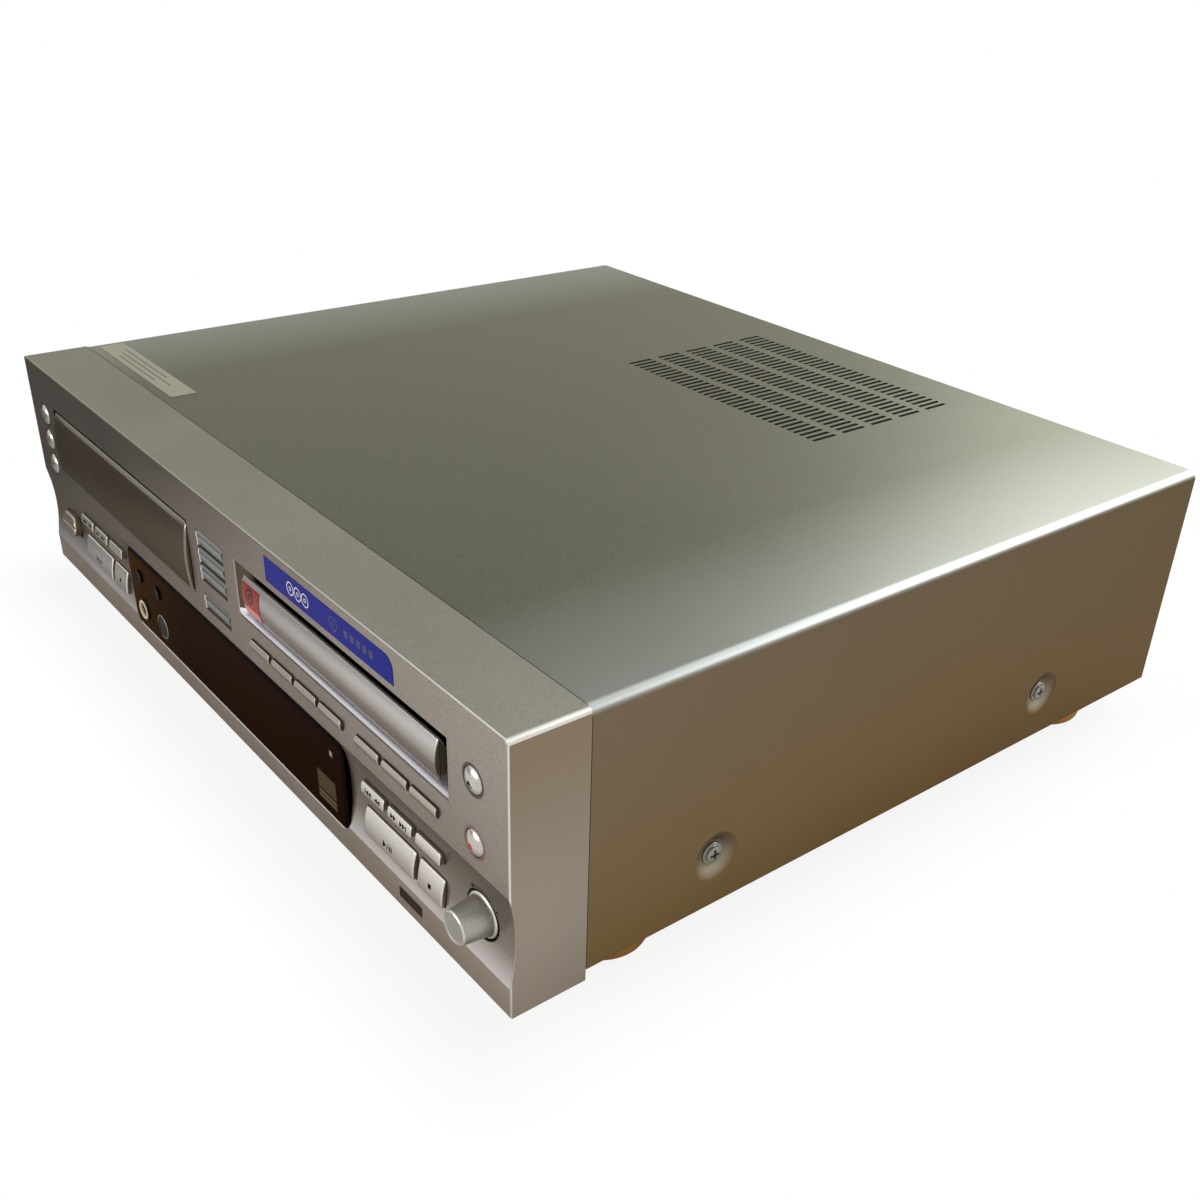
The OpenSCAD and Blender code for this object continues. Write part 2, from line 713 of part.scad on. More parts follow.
// Round button: a domed cap and a round lip behind the face
module round_button(x, drop) {
    z = body_h - drop;
    dome_r = arc_r(round_r, round_out);
    intersection() {
        rod_y(x, z, -round_out, lip_back_v, round_r);
        translate([x, dome_r - round_out, z]) sphere(dome_r);
    }
    rod_y(x, z, face_t + lip_gap, lip_back_v, round_r + key_gap + lip_w);
}

// Knob on its shaft
module knob(x, drop, r, out) {
    rod_y(x, body_h - drop, -out, jog_seat_v, r);
    rod_y(x, body_h - drop, jog_seat_v - tiny, board_v - board_margin, knob_shaft_r);
}

// Front panel
module front_bezel() color("silver") from_front() difference() {
    union() {
        difference() {
            intersection() {
                along_y(0, bezel_d) arch(body_w, bezel_lift, body_h, bezel_edge_r);
                along_x(-half_w, half_w) difference() {
                    nose(0, bezel_d, bezel_lift, body_h, face_edge_r);
                    translate([scoop_depth - scoop_r, scoop_z]) circle(scoop_r, $fn = 200);
                }
                along_z(0, body_h) nose(0, bezel_d, -half_w, half_w, face_edge_r);
            }
            block(
                [-half_w + bezel_wall, face_t, bezel_lift + bezel_wall],
                [half_w - bezel_wall, bezel_d + 1, body_h - bezel_wall]
            );
        }
        recess_shell();
        board_posts();
        chassis_pads();
    }
    changer_opening();
    recess_cut();
    key_holes();
    window_hole();
    jog_hole();
}

// Wall behind the recorder's recess
module recess_shell() block(
    [recess_left - recess_wall, face_t - tiny, recess_z - recess_wall],
    [recess_right + recess_wall, recess_d + recess_wall, recess_z + recess_h + recess_wall]
);

// Posts that carry the control board
module board_posts() {
    x_out = half_w - bezel_wall - post_r;
    z_low = floor_z + board_margin + post_r;
    z_high = body_h - bezel_wall - post_r;
    for (p = [[-x_out, z_low], [x_out, z_low], [-x_out, z_high], [x_out, z_high], [0, z_high]])
        rod_y(p[0], p[1], face_t - tiny, board_v, board_post_r);
}

// Pads under the chassis floor
module chassis_pads() for (x = [-pad_x, 0, pad_x]) block(
    [x - chassis_pad_w / 2, bezel_d - chassis_pad_w, bezel_lift + bezel_wall - tiny],
    [x + chassis_pad_w / 2, bezel_d, chassis_lift]
);

module changer_opening() block(
    [changer_left, -1, changer_open_z],
    [changer_right, face_t + 1, changer_open_z + changer_open_h]
);

// Recess round the tray front, with sloping walls, and the tray's slot through its back wall
module recess_cut() {
    back_w = front_w / 2 + recess_back_gap;
    back_h = front_h / 2 + recess_back_gap;
    block([recess_left, -1, recess_z], [recess_right, tiny, recess_z + recess_h]);
    hull() {
        block([recess_left, 0, recess_z], [recess_right, tiny, recess_z + recess_h]);
        block(
            [recorder_x - back_w, recess_d - tiny, front_z - back_h],
            [recorder_x + back_w, recess_d, front_z + back_h]
        );
    }
    block(
        [recorder_tray_left - wall_room, 0, recorder_tray_z - rail_gap],
        [recorder_tray_right + rack_room, recess_d + recess_wall + 1, recorder_slot_z]
    );
}

module key_holes() {
    for (k = concat(disc_keys, small_keys, scoop_keys)) key_room(k, -1, face_t + 1, key_gap, key_gap);
    for (b = round_buttons) rod_y(b[0], body_h - b[1], -1, face_t + 1, round_r + key_gap);
}

module window_hole() along_y(-1, face_t + 1) translate(window_place)
    round_rect(window_w + 2 * window_gap, window_h + 2 * window_gap, window_corner_r);

module jog_hole() {
    rod_y(jog_x, body_h - jog_drop, -1, jog_seat_v, jog_seat_r);
    rod_y(jog_x, body_h - jog_drop, 0, face_t + 1, knob_shaft_r + run_gap);
}

// Smoked window, with holes for the socket and the knobs
module display_window() color([0.14, 0.07, 0.03]) from_front() difference() {
    union() {
        along_y(0, face_t + tiny) translate(window_place) round_rect(window_w, window_h, window_corner_r);
        along_y(face_t, lip_back_v) translate(window_place)
            round_rect(window_w + 2 * window_flange, window_h + 2 * window_flange, window_corner_r);
    }
    for (x = jack_x) rod_y(x, body_h - jack_drops[0], -1, lip_back_v + 1, small_knob_r + key_gap);
    rod_y(jack_x[0], body_h - jack_drops[1], -1, lip_back_v + 1, phones_barrel_r + window_gap);
    rod_y(jack_x[1], body_h - jack_drops[1], -1, lip_back_v + 1, level_knob_r + key_gap);
}

// Folded cover: top and sides in one sheet, a lip at the rear, vents and dimpled screw seats
module top_cover() color("gray") from_front() difference() {
    union() {
        along_y(cover_v, body_d) difference() {
            arch(body_w, chassis_lift, body_h, cover_bend_r);
            arch(body_w - 2 * cover_t, chassis_lift - 1, inner_top, cover_bend_r - cover_t);
        }
        rear_lip();
        side_places()
            cylinder(r1 = dimple_r + cover_t, r2 = screw_head_r + 2 * cover_t, h = dimple_depth + cover_t);
    }
    side_places() {
        translate([0, 0, -1]) cylinder(r = screw_r + screw_gap, h = dimple_depth + cover_t + 2);
        translate([0, 0, -tiny])
            cylinder(r1 = dimple_r, r2 = screw_head_r + cover_t, h = dimple_depth + tiny);
    }
    for (x = rear_screw_x) rod_y(x, rear_screw_z, panel_v, body_d + 1, screw_r + screw_gap);
    vents();
}

// Children on the outer face of each side, over a screw, with z pointing inwards
module side_places() for (side = [-1, 1], v = side_screw_v)
    translate([side * half_w, v, body_h - side_screw_drop]) rotate([0, -side * 90, 0]) children();

module rear_lip() block(
    [-half_w + cover_bend_r, lip_v, inner_top - lip_drop],
    [half_w - cover_bend_r, lip_v + cover_t, inner_top + tiny]
);

module vents() {
    first_x = vent_x - (vent_count - 1) * vent_pitch / 2 - vent_w / 2;
    last_v = body_d - vent_inset - vent_l;
    for (row = [0:vent_rows - 1], i = [0:vent_count - 1])
        translate([first_x + i * vent_pitch, last_v - row * vent_row_pitch, inner_top - 1])
            cube([vent_w, vent_l, cover_t + 2]);
}

// Chassis pan: floor, side flanges and the main board's posts
module bottom_chassis() color("lightgray") from_front() difference() {
    union() {
        block([-chassis_half_w, board_v, chassis_lift], [chassis_half_w, panel_v, floor_z]);
        for (side = [-1, 1]) block(
            [side > 0 ? chassis_half_w - chassis_t : -chassis_half_w, cover_v, chassis_lift],
            [side > 0 ? chassis_half_w : -chassis_half_w + chassis_t, panel_v, floor_z + flange_h]
        );
        main_board_places() cylinder(r = board_post_r, h = main_board_lift + chassis_t);
    }
    side_places() cylinder(r = screw_r + screw_gap, h = dimple_depth + cover_t + screw_l);
}

module main_board_places() for (x = [2 * board_post_r, main_board_w - 2 * board_post_r],
                                v = [2 * board_post_r, main_board_l - 2 * board_post_r])
    translate([main_board_x + x, main_board_v + v, chassis_lift]) children();

// Rear panel with its socket openings
module rear_panel() color("lightgray") from_front() difference() {
    block(
        [-chassis_half_w, panel_v, chassis_lift],
        [chassis_half_w, panel_v + chassis_t, inner_top - sheet_gap]
    );
    line_block(-1, chassis_t + 1, key_gap);
    for (i = [-1, 1]) optical_block(i, -1, chassis_t + 1, key_gap);
    inlet_block(-1, chassis_t + 1, key_gap);
    for (x = rear_screw_x) rod_y(x, rear_screw_z, panel_v - 1, panel_v + chassis_t + 1, screw_r + screw_gap);
}

module feet_places() for (x = [-1, 1], v = [front_foot_v, body_d - rear_foot_inset])
    translate([x * (half_w - foot_inset), v, 0]) children();

// Feet, turned, with a groove round the rim
module feet() color("goldenrod") from_front() feet_places() rotate_extrude() difference() {
    translate([0, pad_t]) square([foot_r, chassis_lift - pad_t]);
    translate([foot_r, (pad_t + chassis_lift) / 2]) circle(foot_groove_r);
    translate([foot_r, pad_t]) rotate(45) square(2 * foot_groove_r, center = true);
}

module foot_pads() color("dimgray") from_front() feet_places() cylinder(r = pad_r, h = pad_t);

// Screw with a cross recess: head from z = 0 to its thickness, shank below
module screw() difference() {
    union() {
        cylinder(r = screw_head_r, h = screw_head_t / 2);
        translate([0, 0, screw_head_t / 2 - tiny])
            cylinder(r1 = screw_head_r, r2 = screw_head_r - screw_head_t / 2, h = screw_head_t / 2 + tiny);
        translate([0, 0, -screw_l]) cylinder(r = screw_r, h = screw_l + tiny);
    }
    for (a = [0, 90]) rotate(a)
        translate([-screw_head_r / 2, -cross_w / 2, screw_head_t / 2])
            cube([screw_head_r, cross_w, screw_head_t]);
}

module cover_screws() color("silver") from_front() side_places()
    translate([0, 0, dimple_depth]) rotate([180, 0, 0]) screw();

module rear_screws() color("silver") from_front() for (x = rear_screw_x)
    translate([x, lip_v + cover_t, rear_screw_z]) rotate([-90, 0, 0]) screw();

// Changer door: a bar with a swelling face
module changer_door() color("silver") from_front()
    along_x(changer_left + door_gap, changer_right - door_gap) intersection() {
        translate([-changer_bulge, changer_open_z + door_gap])
            square([changer_bulge + front_back_v, changer_open_h - 2 * door_gap]);
        translate([changer_door_r - changer_bulge, changer_crest_z]) circle(changer_door_r, $fn = 200);
    }

// Recorder tray front: a shorter bar with a swelling face
module recorder_tray_front() color("silver") from_front()
    along_x(recorder_x - front_w / 2, recorder_x + front_w / 2) intersection() {
        translate([-front_crest, front_z - front_h / 2]) square([front_crest + front_back_v, front_h]);
        translate([front_r - front_crest, front_z]) circle(front_r, $fn = 200);
    }

// Disc tray with its underside at z, starting at v
module disc_tray(x, w, z, v, with_rack) {
    difference() {
        block([x - w / 2, v, z], [x + w / 2, v + tray_l, z + tray_t]);
        translate([x, disc_v, z + tray_t - well_depth]) cylinder(r = well_r, h = well_depth + 1, $fn = 160);
        translate([x, disc_v, z + tray_t - well_depth - small_well_depth])
            cylinder(r = small_disc_r, h = well_depth, $fn = 120);
        translate([x, disc_v, z - 1]) cylinder(r = hub_hole_r, h = tray_t + 2);
        block(
            [x - laser_slot_w / 2, disc_v, z - 1],
            [x + laser_slot_w / 2, disc_v + well_r - slot_rim, z + tray_t + 1]
        );
    }
    if (with_rack) rack(x - w / 2, z);
}

// Rack along a tray's left edge, in mesh with the loading gear
module rack(x, z) for (i = [0:rack_teeth - 1])
    translate([x, gear_v + (i - 1.5) * tooth_pitch, z]) linear_extrude(gear_h) polygon([
        [tiny, -tooth_half - tooth_in * flank],
        [tiny, tooth_half + tooth_in * flank],
        [-tooth_in - tooth_out, tooth_half - tooth_out * flank],
        [-tooth_in - tooth_out, -tooth_half + tooth_out * flank]
    ]);

module changer_tray() color("dimgray") from_front()
    disc_tray(changer_x, changer_tray_w, changer_drawer_z, front_back_v, true);

module changer_lower_trays() color("dimgray") from_front() for (i = [0:1])
    disc_tray(changer_x, changer_tray_w, changer_tray_z + i * tray_pitch, front_back_v + stock_step, false);

module recorder_tray() color("dimgray") from_front()
    disc_tray(recorder_x, recorder_tray_w, recorder_tray_z, front_back_v, true);

// Loading gear beside a tray: x is the tray's left edge, z its underside
module loading_gear(x, z) translate([x - tooth_in - pitch_r, gear_v, z]) difference() {
    linear_extrude(gear_h) {
        circle(pitch_r - tooth_in);
        for (i = [0:gear_teeth - 1]) rotate(i * 360 / gear_teeth) polygon([
            [0, -tooth_half - tooth_in * flank],
            [pitch_r - tooth_in, -tooth_half - tooth_in * flank],
            [pitch_r + tooth_out, -tooth_half + tooth_out * flank],
            [pitch_r + tooth_out, tooth_half - tooth_out * flank],
            [pitch_r - tooth_in, tooth_half + tooth_in * flank],
            [0, tooth_half + tooth_in * flank]
        ]);
    }
    translate([0, 0, -1]) cylinder(r = gear_pin_r + run_gap, h = gear_h + 2);
}

module changer_loading_gear() color("ivory") from_front()
    loading_gear(changer_x - changer_tray_w / 2, changer_drawer_z);

module recorder_loading_gear() color("ivory") from_front()
    loading_gear(recorder_tray_left, recorder_tray_z);

// Loader frame: base plate on posts, side walls with a pair of rails for each of some trays,
// the loading gear's pin, the spindle motor and the pickup's guide rods
module loader_frame(x, w, z, trays, top_z) {
    plate_z = z - works_h - plate_t;
    left_x = x - w / 2 - wall_room;
    right_x = x + w / 2 + rail_gap;
    end_v = frame_v + frame_l;
    difference() {
        union() {
            block([left_x - frame_t, frame_v, plate_z], [right_x + frame_t, end_v, plate_z + plate_t]);
            block([left_x - frame_t, frame_v, plate_z], [left_x, end_v, top_z]);
            block([right_x, frame_v, plate_z], [right_x + frame_t, end_v, top_z]);
            for (i = [0:trays - 1]) rails(x, w, z + i * tray_pitch, left_x, right_x, end_v);
            gear_shelf(x - w / 2, z + (trays - 1) * tray_pitch, left_x);
            for (px = [left_x + post_r, right_x - post_r], v = [frame_v + post_r, end_v - post_r])
                translate([px, v, floor_z]) cylinder(r = post_r, h = plate_z - floor_z + tiny);
            translate([x, disc_v, plate_z - works_h]) cylinder(r = motor_r, h = works_h + tiny);
            guide_rods(x, plate_z + plate_t);
        }
        translate([x, disc_v, plate_z - works_h + motor_floor])
            cylinder(r = shaft_r + run_gap, h = works_h + plate_t);
        gear_window(x - w / 2, z + (trays - 1) * tray_pitch, left_x);
    }
}

// Rails under both edges of a tray
module rails(x, w, z, left_x, right_x, end_v) {
    block([left_x - tiny, frame_v, z - rail_gap - frame_t], [x - w / 2 + rail_w, end_v, z - rail_gap]);
    block([x + w / 2 - rail_w, frame_v, z - rail_gap - frame_t], [right_x + tiny, end_v, z - rail_gap]);
}

// Shelf outside the left wall, with the pin that the loading gear turns on
module gear_shelf(x, z, left_x) {
    gear_x = x - tooth_in - pitch_r;
    block(
        [gear_x - post_r, gear_v - post_r, z - rail_gap - frame_t],
        [left_x, gear_v + post_r, z - rail_gap]
    );
    translate([gear_x, gear_v, z - rail_gap - tiny]) cylinder(r = gear_pin_r, h = gear_h + 2 * rail_gap);
}

// Window in the left wall for the loading gear's teeth
module gear_window(x, z, left_x) block(
    [left_x - frame_t - tiny, gear_v - pitch_r - 1, z - rail_gap],
    [left_x + tiny, gear_v + pitch_r + 1, z + gear_h + rail_gap]
);

// Two guide rods in their end blocks, on a base plate at z
module guide_rods(x, z) for (side = [-1, 1]) {
    rod_y(x + side * rod_x, z + rod_lift, disc_v + rod_start, disc_v + rod_start + rod_l, rod_r);
    for (v = [rod_start, rod_start + rod_l - rod_block_l]) block(
        [x + side * rod_x - rod_block_w / 2, disc_v + v, z - tiny],
        [x + side * rod_x + rod_block_w / 2, disc_v + v + rod_block_l, z + pickup_top]
    );
}

module changer_frame() color("slategray") from_front() loader_frame(
    changer_x, changer_tray_w, changer_tray_z, 3, changer_drawer_z + tray_t
);

module recorder_frame() color("slategray") from_front() loader_frame(
    recorder_x, recorder_tray_w, recorder_tray_z, 1, recorder_tray_z + tray_t
);

// Spindle: turntable, centring hub and shaft; z is the underside of the lowest tray
module spindle(x, z) translate([x, disc_v, z - works_h]) rotate_extrude() {
    square([turntable_r, turntable_t]);
    square([hub_r, works_h - hub_room - rail_gap]);
    translate([0, -plate_t - works_h + 2 * motor_floor]) square([shaft_r, works_h + plate_t]);
}

module changer_spindle() color("gainsboro") from_front() translate([0, 0, rail_gap])
    spindle(changer_x, changer_tray_z);

module recorder_spindle() color("gainsboro") from_front() translate([0, 0, rail_gap])
    spindle(recorder_x, recorder_tray_z);

// Pickup: a sled bored for the guide rods, with its lens on top
module pickup(x, z) {
    plate_z = z - works_h;
    difference() {
        block(
            [x - rod_x - rod_block_w / 2, pickup_v, plate_z + rail_gap],
            [x + rod_x + rod_block_w / 2, pickup_v + pickup_l, plate_z + pickup_top]
        );
        for (side = [-1, 1]) rod_y(
            x + side * rod_x, plate_z + rod_lift, pickup_v - 1, pickup_v + pickup_l + 1, rod_r + run_gap
        );
    }
    translate([x, pickup_v + pickup_l / 2, plate_z + pickup_top - tiny]) cylinder(r = lens_r, h = lens_h);
}

module changer_pickup() color("black") from_front() pickup(changer_x, changer_tray_z);

module recorder_pickup() color("black") from_front() pickup(recorder_x, recorder_tray_z);

// Headphone socket: ring, barrel and body round one long bore
module phones_jack() color("ivory") from_front() {
    z = body_h - jack_drops[1];
    difference() {
        union() {
            rod_y(jack_x[0], z, -phones_out, 0, phones_ring_r);
            rod_y(jack_x[0], z, -tiny, lip_back_v + tiny, phones_barrel_r);
            key_room(phones_body, lip_back_v, phones_bore_l, 0, 0);
        }
        rod_y(jack_x[0], z, -phones_out - 1, phones_bore_l - phones_out, phones_bore_r);
    }
}

// Control board with a switch behind each key and a holder behind each knob
module control_board() color("darkgreen") from_front() difference() {
    union() {
        block(
            [-half_w + bezel_wall + board_margin, board_v, floor_z + board_margin],
            [half_w - bezel_wall - board_margin, board_v + board_t, body_h - bezel_wall - board_margin]
        );
        for (k = concat(disc_keys, small_keys, scoop_keys, round_buttons)) block(
            [k[0] - switch_w / 2, switch_v, body_h - k[1] - min(switch_w, small_key_h) / 2],
            [k[0] + switch_w / 2, board_v + tiny, body_h - k[1] + min(switch_w, small_key_h) / 2]
        );
        for (p = knob_places())
            rod_y(p[0], body_h - p[1], lip_back_v + board_margin, board_v + tiny, 2 * knob_shaft_r);
    }
    for (p = knob_places()) rod_y(p[0], body_h - p[1], face_t, board_back_v + 1, knob_shaft_r + run_gap);
    key_room(phones_body, board_v - 1, board_back_v + 1, key_gap, key_gap);
    block(
        [changer_left - board_margin, board_v - 1, changer_tray_z - works_h],
        [changer_right + board_margin, board_back_v + 1, changer_open_z + changer_open_h]
    );
    block(
        [recorder_tray_left - wall_room - board_margin, board_v - 1, recorder_tray_z - board_margin],
        [recorder_tray_right + board_margin, board_back_v + 1, recorder_slot_z]
    );
}

function knob_places() = [
    [jog_x, jog_drop], [jack_x[1], jack_drops[1]], [jack_x[0], jack_drops[0]], [jack_x[1], jack_drops[0]]
];

// Main board with its heat sink, capacitors and chips
module main_board() color("darkgreen") from_front() translate([main_board_x, main_board_v, main_board_z]) {
    cube([main_board_w, main_board_l, board_t]);
    translate([chip_w, chip_w, board_t - tiny]) cube([heat_sink_w, chip_w / 2, heat_sink_h]);
    for (i = [0:3])
        translate([chip_w + heat_sink_w + capacitor_r * (3 * i + 2), chip_w + capacitor_r, board_t - tiny])
            cylinder(r = capacitor_r, h = capacitor_h);
    for (i = [0:2]) translate([chip_w * (2 * i + 1), main_board_l - 2 * chip_w, board_t - tiny])
        cube([chip_w, chip_w, chip_t]);
}

// Transformer: laminated core with its winding
module power_transformer() color("peru") from_front()
    translate([inlet_x - transformer_w / 2, panel_v - transformer_gap - transformer_d, floor_z]) {
        cube([transformer_w, transformer_d, transformer_h]);
        translate([2 * winding_out, -winding_out, winding_out]) cube([
            transformer_w - 4 * winding_out, transformer_d + 2 * winding_out, transformer_h - 2 * winding_out
        ]);
    }

// Place of the line sockets' block in the rear panel, from v0 to v1 behind its inner face
module line_block(v0, v1, margin) block(
    [line_x - line_pitch * line_pairs / 2 - margin, panel_v + v0, socket_z - line_pitch - margin],
    [line_x + line_pitch * line_pairs / 2 + margin, panel_v + v1, socket_z + line_pitch + margin]
);

module line_sockets() color("black") from_front() difference() {
    union() {
        line_block(-socket_depth, chassis_t, 0);
        line_places() cylinder(r = line_r, h = line_l);
    }
    line_places() translate([0, 0, -1]) cylinder(r = line_bore_r, h = line_l + 2);
}

module line_places() for (i = [0:line_pairs - 1], side = [-1, 1])
    translate([
        line_x + (i - (line_pairs - 1) / 2) * line_pitch,
        panel_v + chassis_t - tiny,
        socket_z + side * line_pitch / 2
    ]) rotate([-90, 0, 0]) children();

module optical_block(side, v0, v1, margin) block(
    [optical_x + side * optical_w - optical_w / 2 - margin, panel_v + v0, socket_z - optical_w / 2 - margin],
    [optical_x + side * optical_w + optical_w / 2 + margin, panel_v + v1, socket_z + optical_w / 2 + margin]
);

module optical_sockets() color("black") from_front() for (side = [-1, 1]) difference() {
    optical_block(side, -optical_d - socket_wall, chassis_t + socket_out, 0);
    optical_block(side, chassis_t + socket_out - optical_d, chassis_t + socket_out + 1, -socket_wall);
}

module inlet_block(v0, v1, margin) {
    w = inlet_w / 2 + 2 * socket_wall + margin;
    h = inlet_h / 2 + 2 * socket_wall + margin;
    block([inlet_x - w, panel_v + v0, socket_z - h], [inlet_x + w, panel_v + v1, socket_z + h]);
}

// Mains inlet: a block with a round-ended mouth and two pins
module mains_inlet() color("black") from_front() {
    mouth_v = panel_v + chassis_t + socket_out;
    difference() {
        inlet_block(-inlet_d - socket_wall, chassis_t + socket_out, 0);
        translate([inlet_x, 0, socket_z]) along_y(mouth_v - inlet_d, mouth_v + 1)
            round_rect(inlet_w, inlet_h, inlet_h / 2 - tiny);
    }
    pin_x = (inlet_w - inlet_h) / 2;
    pin_root_v = mouth_v - inlet_d - tiny;
    for (side = [-1, 1])
        rod_y(inlet_x + side * pin_x, socket_z, pin_root_v, mouth_v - inlet_pin_back, inlet_pin_r);
}

// Jog knob: grip, round seat and shaft
module jog_knob() color("silver") from_front() {
    knob(jog_x, jog_drop, jog_r, jog_out);
    flange_v = jog_seat_v - rail_gap;
    rod_y(jog_x, body_h - jog_drop, flange_v - jog_flange_t, flange_v, jog_seat_r - key_gap);
}

module level_knob() color("dimgray") from_front()
    knob(jack_x[1], jack_drops[1], level_knob_r, level_knob_out);

module small_knob(i) color("black") from_front() knob(jack_x[i], jack_drops[0], small_knob_r, small_knob_out);

// Power button, with a crease across the middle of its face
module power_button() color("silver") from_front() difference() {
    key(power_key, power_out, power_bulge, 0, lip_w + key_gap, power_crest);
    along_x(power_x - power_w, power_x + power_w) translate([crease_v, body_h - power_drop]) rotate(45)
        square(crease_w, center = true);
}

module changer_open_button(i) color("silver") from_front()
    round_button(changer_button_x, changer_button_drops[i]);

module recorder_button(i) color("silver") from_front()
    round_button(recorder_button_x, recorder_button_drops[i]);

module disc_key(i) color("darkgray") from_front()
    key(disc_keys[i], disc_key_out, disc_key_bulge, lip_w + key_gap, 0);

module small_key(k) color("silver") from_front() key(k, small_key_out, small_key_bulge, 0, lip_w + key_gap);

module skip_key(k) color("silver") from_front()
    key(k, transport_key_out, skip_bulge, 0, lip_w + key_gap, skip_crest);

module play_key(k) color("silver") from_front()
    key(k, transport_key_out, play_bulge, 0, lip_w + key_gap, play_crest);

front_bezel();
display_window();
top_cover();
bottom_chassis();
rear_panel();
feet();
foot_pads();
cover_screws();
rear_screws();
changer_door();
changer_tray();
changer_lower_trays();
changer_frame();
changer_loading_gear();
changer_spindle();
changer_pickup();
recorder_tray_front();
recorder_tray();
recorder_frame();
recorder_loading_gear();
recorder_spindle();
recorder_pickup();
phones_jack();
control_board();
main_board();
power_transformer();
line_sockets();
optical_sockets();
mains_inlet();
jog_knob();
level_knob();
power_button();
for (i = [0:1]) small_knob(i);
for (i = [0:len(changer_button_drops) - 1])
    changer_open_button(i);
for (i = [0:1]) recorder_button(i);
for (i = [0:len(disc_keys) - 1]) disc_key(i);
for (i = [0:len(program_keys) - 1])
    small_key(program_keys[i]);
for (i = [0:len(mode_keys) - 1])
    small_key(mode_keys[i]);
for (s = [0:1], i = [0:2])
    skip_key(skip_keys(transport_x[s])[i]);
for (s = [0:1], i = [0:1])
    play_key(play_keys(transport_x[s])[i]);
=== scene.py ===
# %% [markdown]
# # A disc changer and recorder deck
# This lesson dresses a hi-fi deck whose construction is already done: the frame holds every part at
# its real size and place, in metres. We only add what the eye asks for: finer fronts, keys with soft
# edges, printed signs, labels and finishes. We load the frame first, and keep its box, because the
# dressed deck must not outgrow it.

# %% Load the frame
from functools import partial, reduce

import bmesh
import bpy
import numpy as np
from mathutils import Matrix, Vector


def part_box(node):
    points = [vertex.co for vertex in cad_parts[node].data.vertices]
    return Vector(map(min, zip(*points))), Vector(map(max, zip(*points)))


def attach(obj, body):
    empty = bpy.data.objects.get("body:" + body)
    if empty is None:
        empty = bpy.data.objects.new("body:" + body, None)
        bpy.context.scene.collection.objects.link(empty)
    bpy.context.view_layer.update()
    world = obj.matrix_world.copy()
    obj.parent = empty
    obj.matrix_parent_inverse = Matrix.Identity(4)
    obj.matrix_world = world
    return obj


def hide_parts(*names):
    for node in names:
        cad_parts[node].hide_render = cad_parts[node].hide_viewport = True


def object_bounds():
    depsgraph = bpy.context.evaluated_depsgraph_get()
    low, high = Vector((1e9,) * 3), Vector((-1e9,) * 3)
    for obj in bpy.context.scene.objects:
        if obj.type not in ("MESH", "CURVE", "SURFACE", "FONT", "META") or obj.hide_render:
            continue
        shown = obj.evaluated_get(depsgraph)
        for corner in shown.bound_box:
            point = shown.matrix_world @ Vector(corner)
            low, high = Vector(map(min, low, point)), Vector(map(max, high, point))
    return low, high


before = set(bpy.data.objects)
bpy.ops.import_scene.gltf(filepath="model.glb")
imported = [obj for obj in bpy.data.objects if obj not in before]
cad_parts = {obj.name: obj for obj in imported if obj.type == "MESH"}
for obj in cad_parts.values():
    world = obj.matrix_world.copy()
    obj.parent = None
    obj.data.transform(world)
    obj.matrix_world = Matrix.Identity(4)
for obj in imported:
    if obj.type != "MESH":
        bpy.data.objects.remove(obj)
cad_box = [list(corner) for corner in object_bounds()]
MM = 0.001


def box(part):
    """Lowest and highest corner of a part, in millimetres, in which the pieces here are drawn."""
    low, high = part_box(part)
    return np.array(low) / MM, np.array(high) / MM


def front_middle(low, high):
    """The middle of a box, seen from the front, at the depth of its foremost face."""
    return np.array([(low[0] + high[0]) / 2, low[1], (low[2] + high[2]) / 2])


FRONT = box("display_window")[0][1]
TOP = cad_box[1][2] / MM


def on_panel(middle):
    """The place on the flat front of the panel that has the same width and height as a middle."""
    return np.array([middle[0], FRONT, middle[2]])


print("frame:", len(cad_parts), "nodes")
print("front face at y =", round(FRONT, 2), "mm, top at z =", round(TOP, 2), "mm")

# %% [markdown]
# ## Camera
# The picture was taken from the right, a little above the deck. A camera is a place and three axes:
# where it looks, what is to its right, and the cross product of the two, which is up. Building the
# rotation from those vectors keeps the slight roll of a picture taken by hand.

# %% Camera
CAMERA_PLACE = Vector((0.47039, -0.35425, 0.32634))
CAMERA_LOOK = Vector((-0.65880, 0.55495, -0.50794))
CAMERA_RIGHT = Vector((0.62687, 0.77823, 0.03720))
CAMERA_LENS = 39.84

lens = bpy.data.cameras.new("camera")
lens.lens = CAMERA_LENS
lens.sensor_width = 36.0
lens.shift_x = -0.025
lens.shift_y = 0.058
lens.clip_start = 0.01
camera = bpy.data.objects.new("camera", lens)
camera_up = CAMERA_RIGHT.cross(CAMERA_LOOK)
turn = Matrix((CAMERA_RIGHT, camera_up, -CAMERA_LOOK)).transposed().to_4x4()
camera.matrix_world = Matrix.Translation(CAMERA_PLACE) @ turn
scene = bpy.context.scene
scene.collection.objects.link(camera)
scene.camera = camera
scene.view_settings.view_transform = "Standard"
print("camera:", CAMERA_LENS, "mm lens at", tuple(round(c, 3) for c in CAMERA_PLACE))

# %% [markdown]
# ## Colours and node graphs
# Colours are written as they read on a screen, 0 to 255, and turned into linear light. A finish is a
# small graph of shader nodes, so one helper adds a node, sets it, and fills its sockets with either a
# value or a wire from another node.


# %% Helpers for finishes
def rgb(red, green, blue):
    """Screen colour to linear light: the standard curve, straight near black and a power of 2.4 above."""
    screen = np.array([red, green, blue]) / 255
    linear = np.where(screen <= 0.04045, screen / 12.92, ((screen + 0.055) / 1.055) ** 2.4)
    return (*linear.tolist(), 1.0)


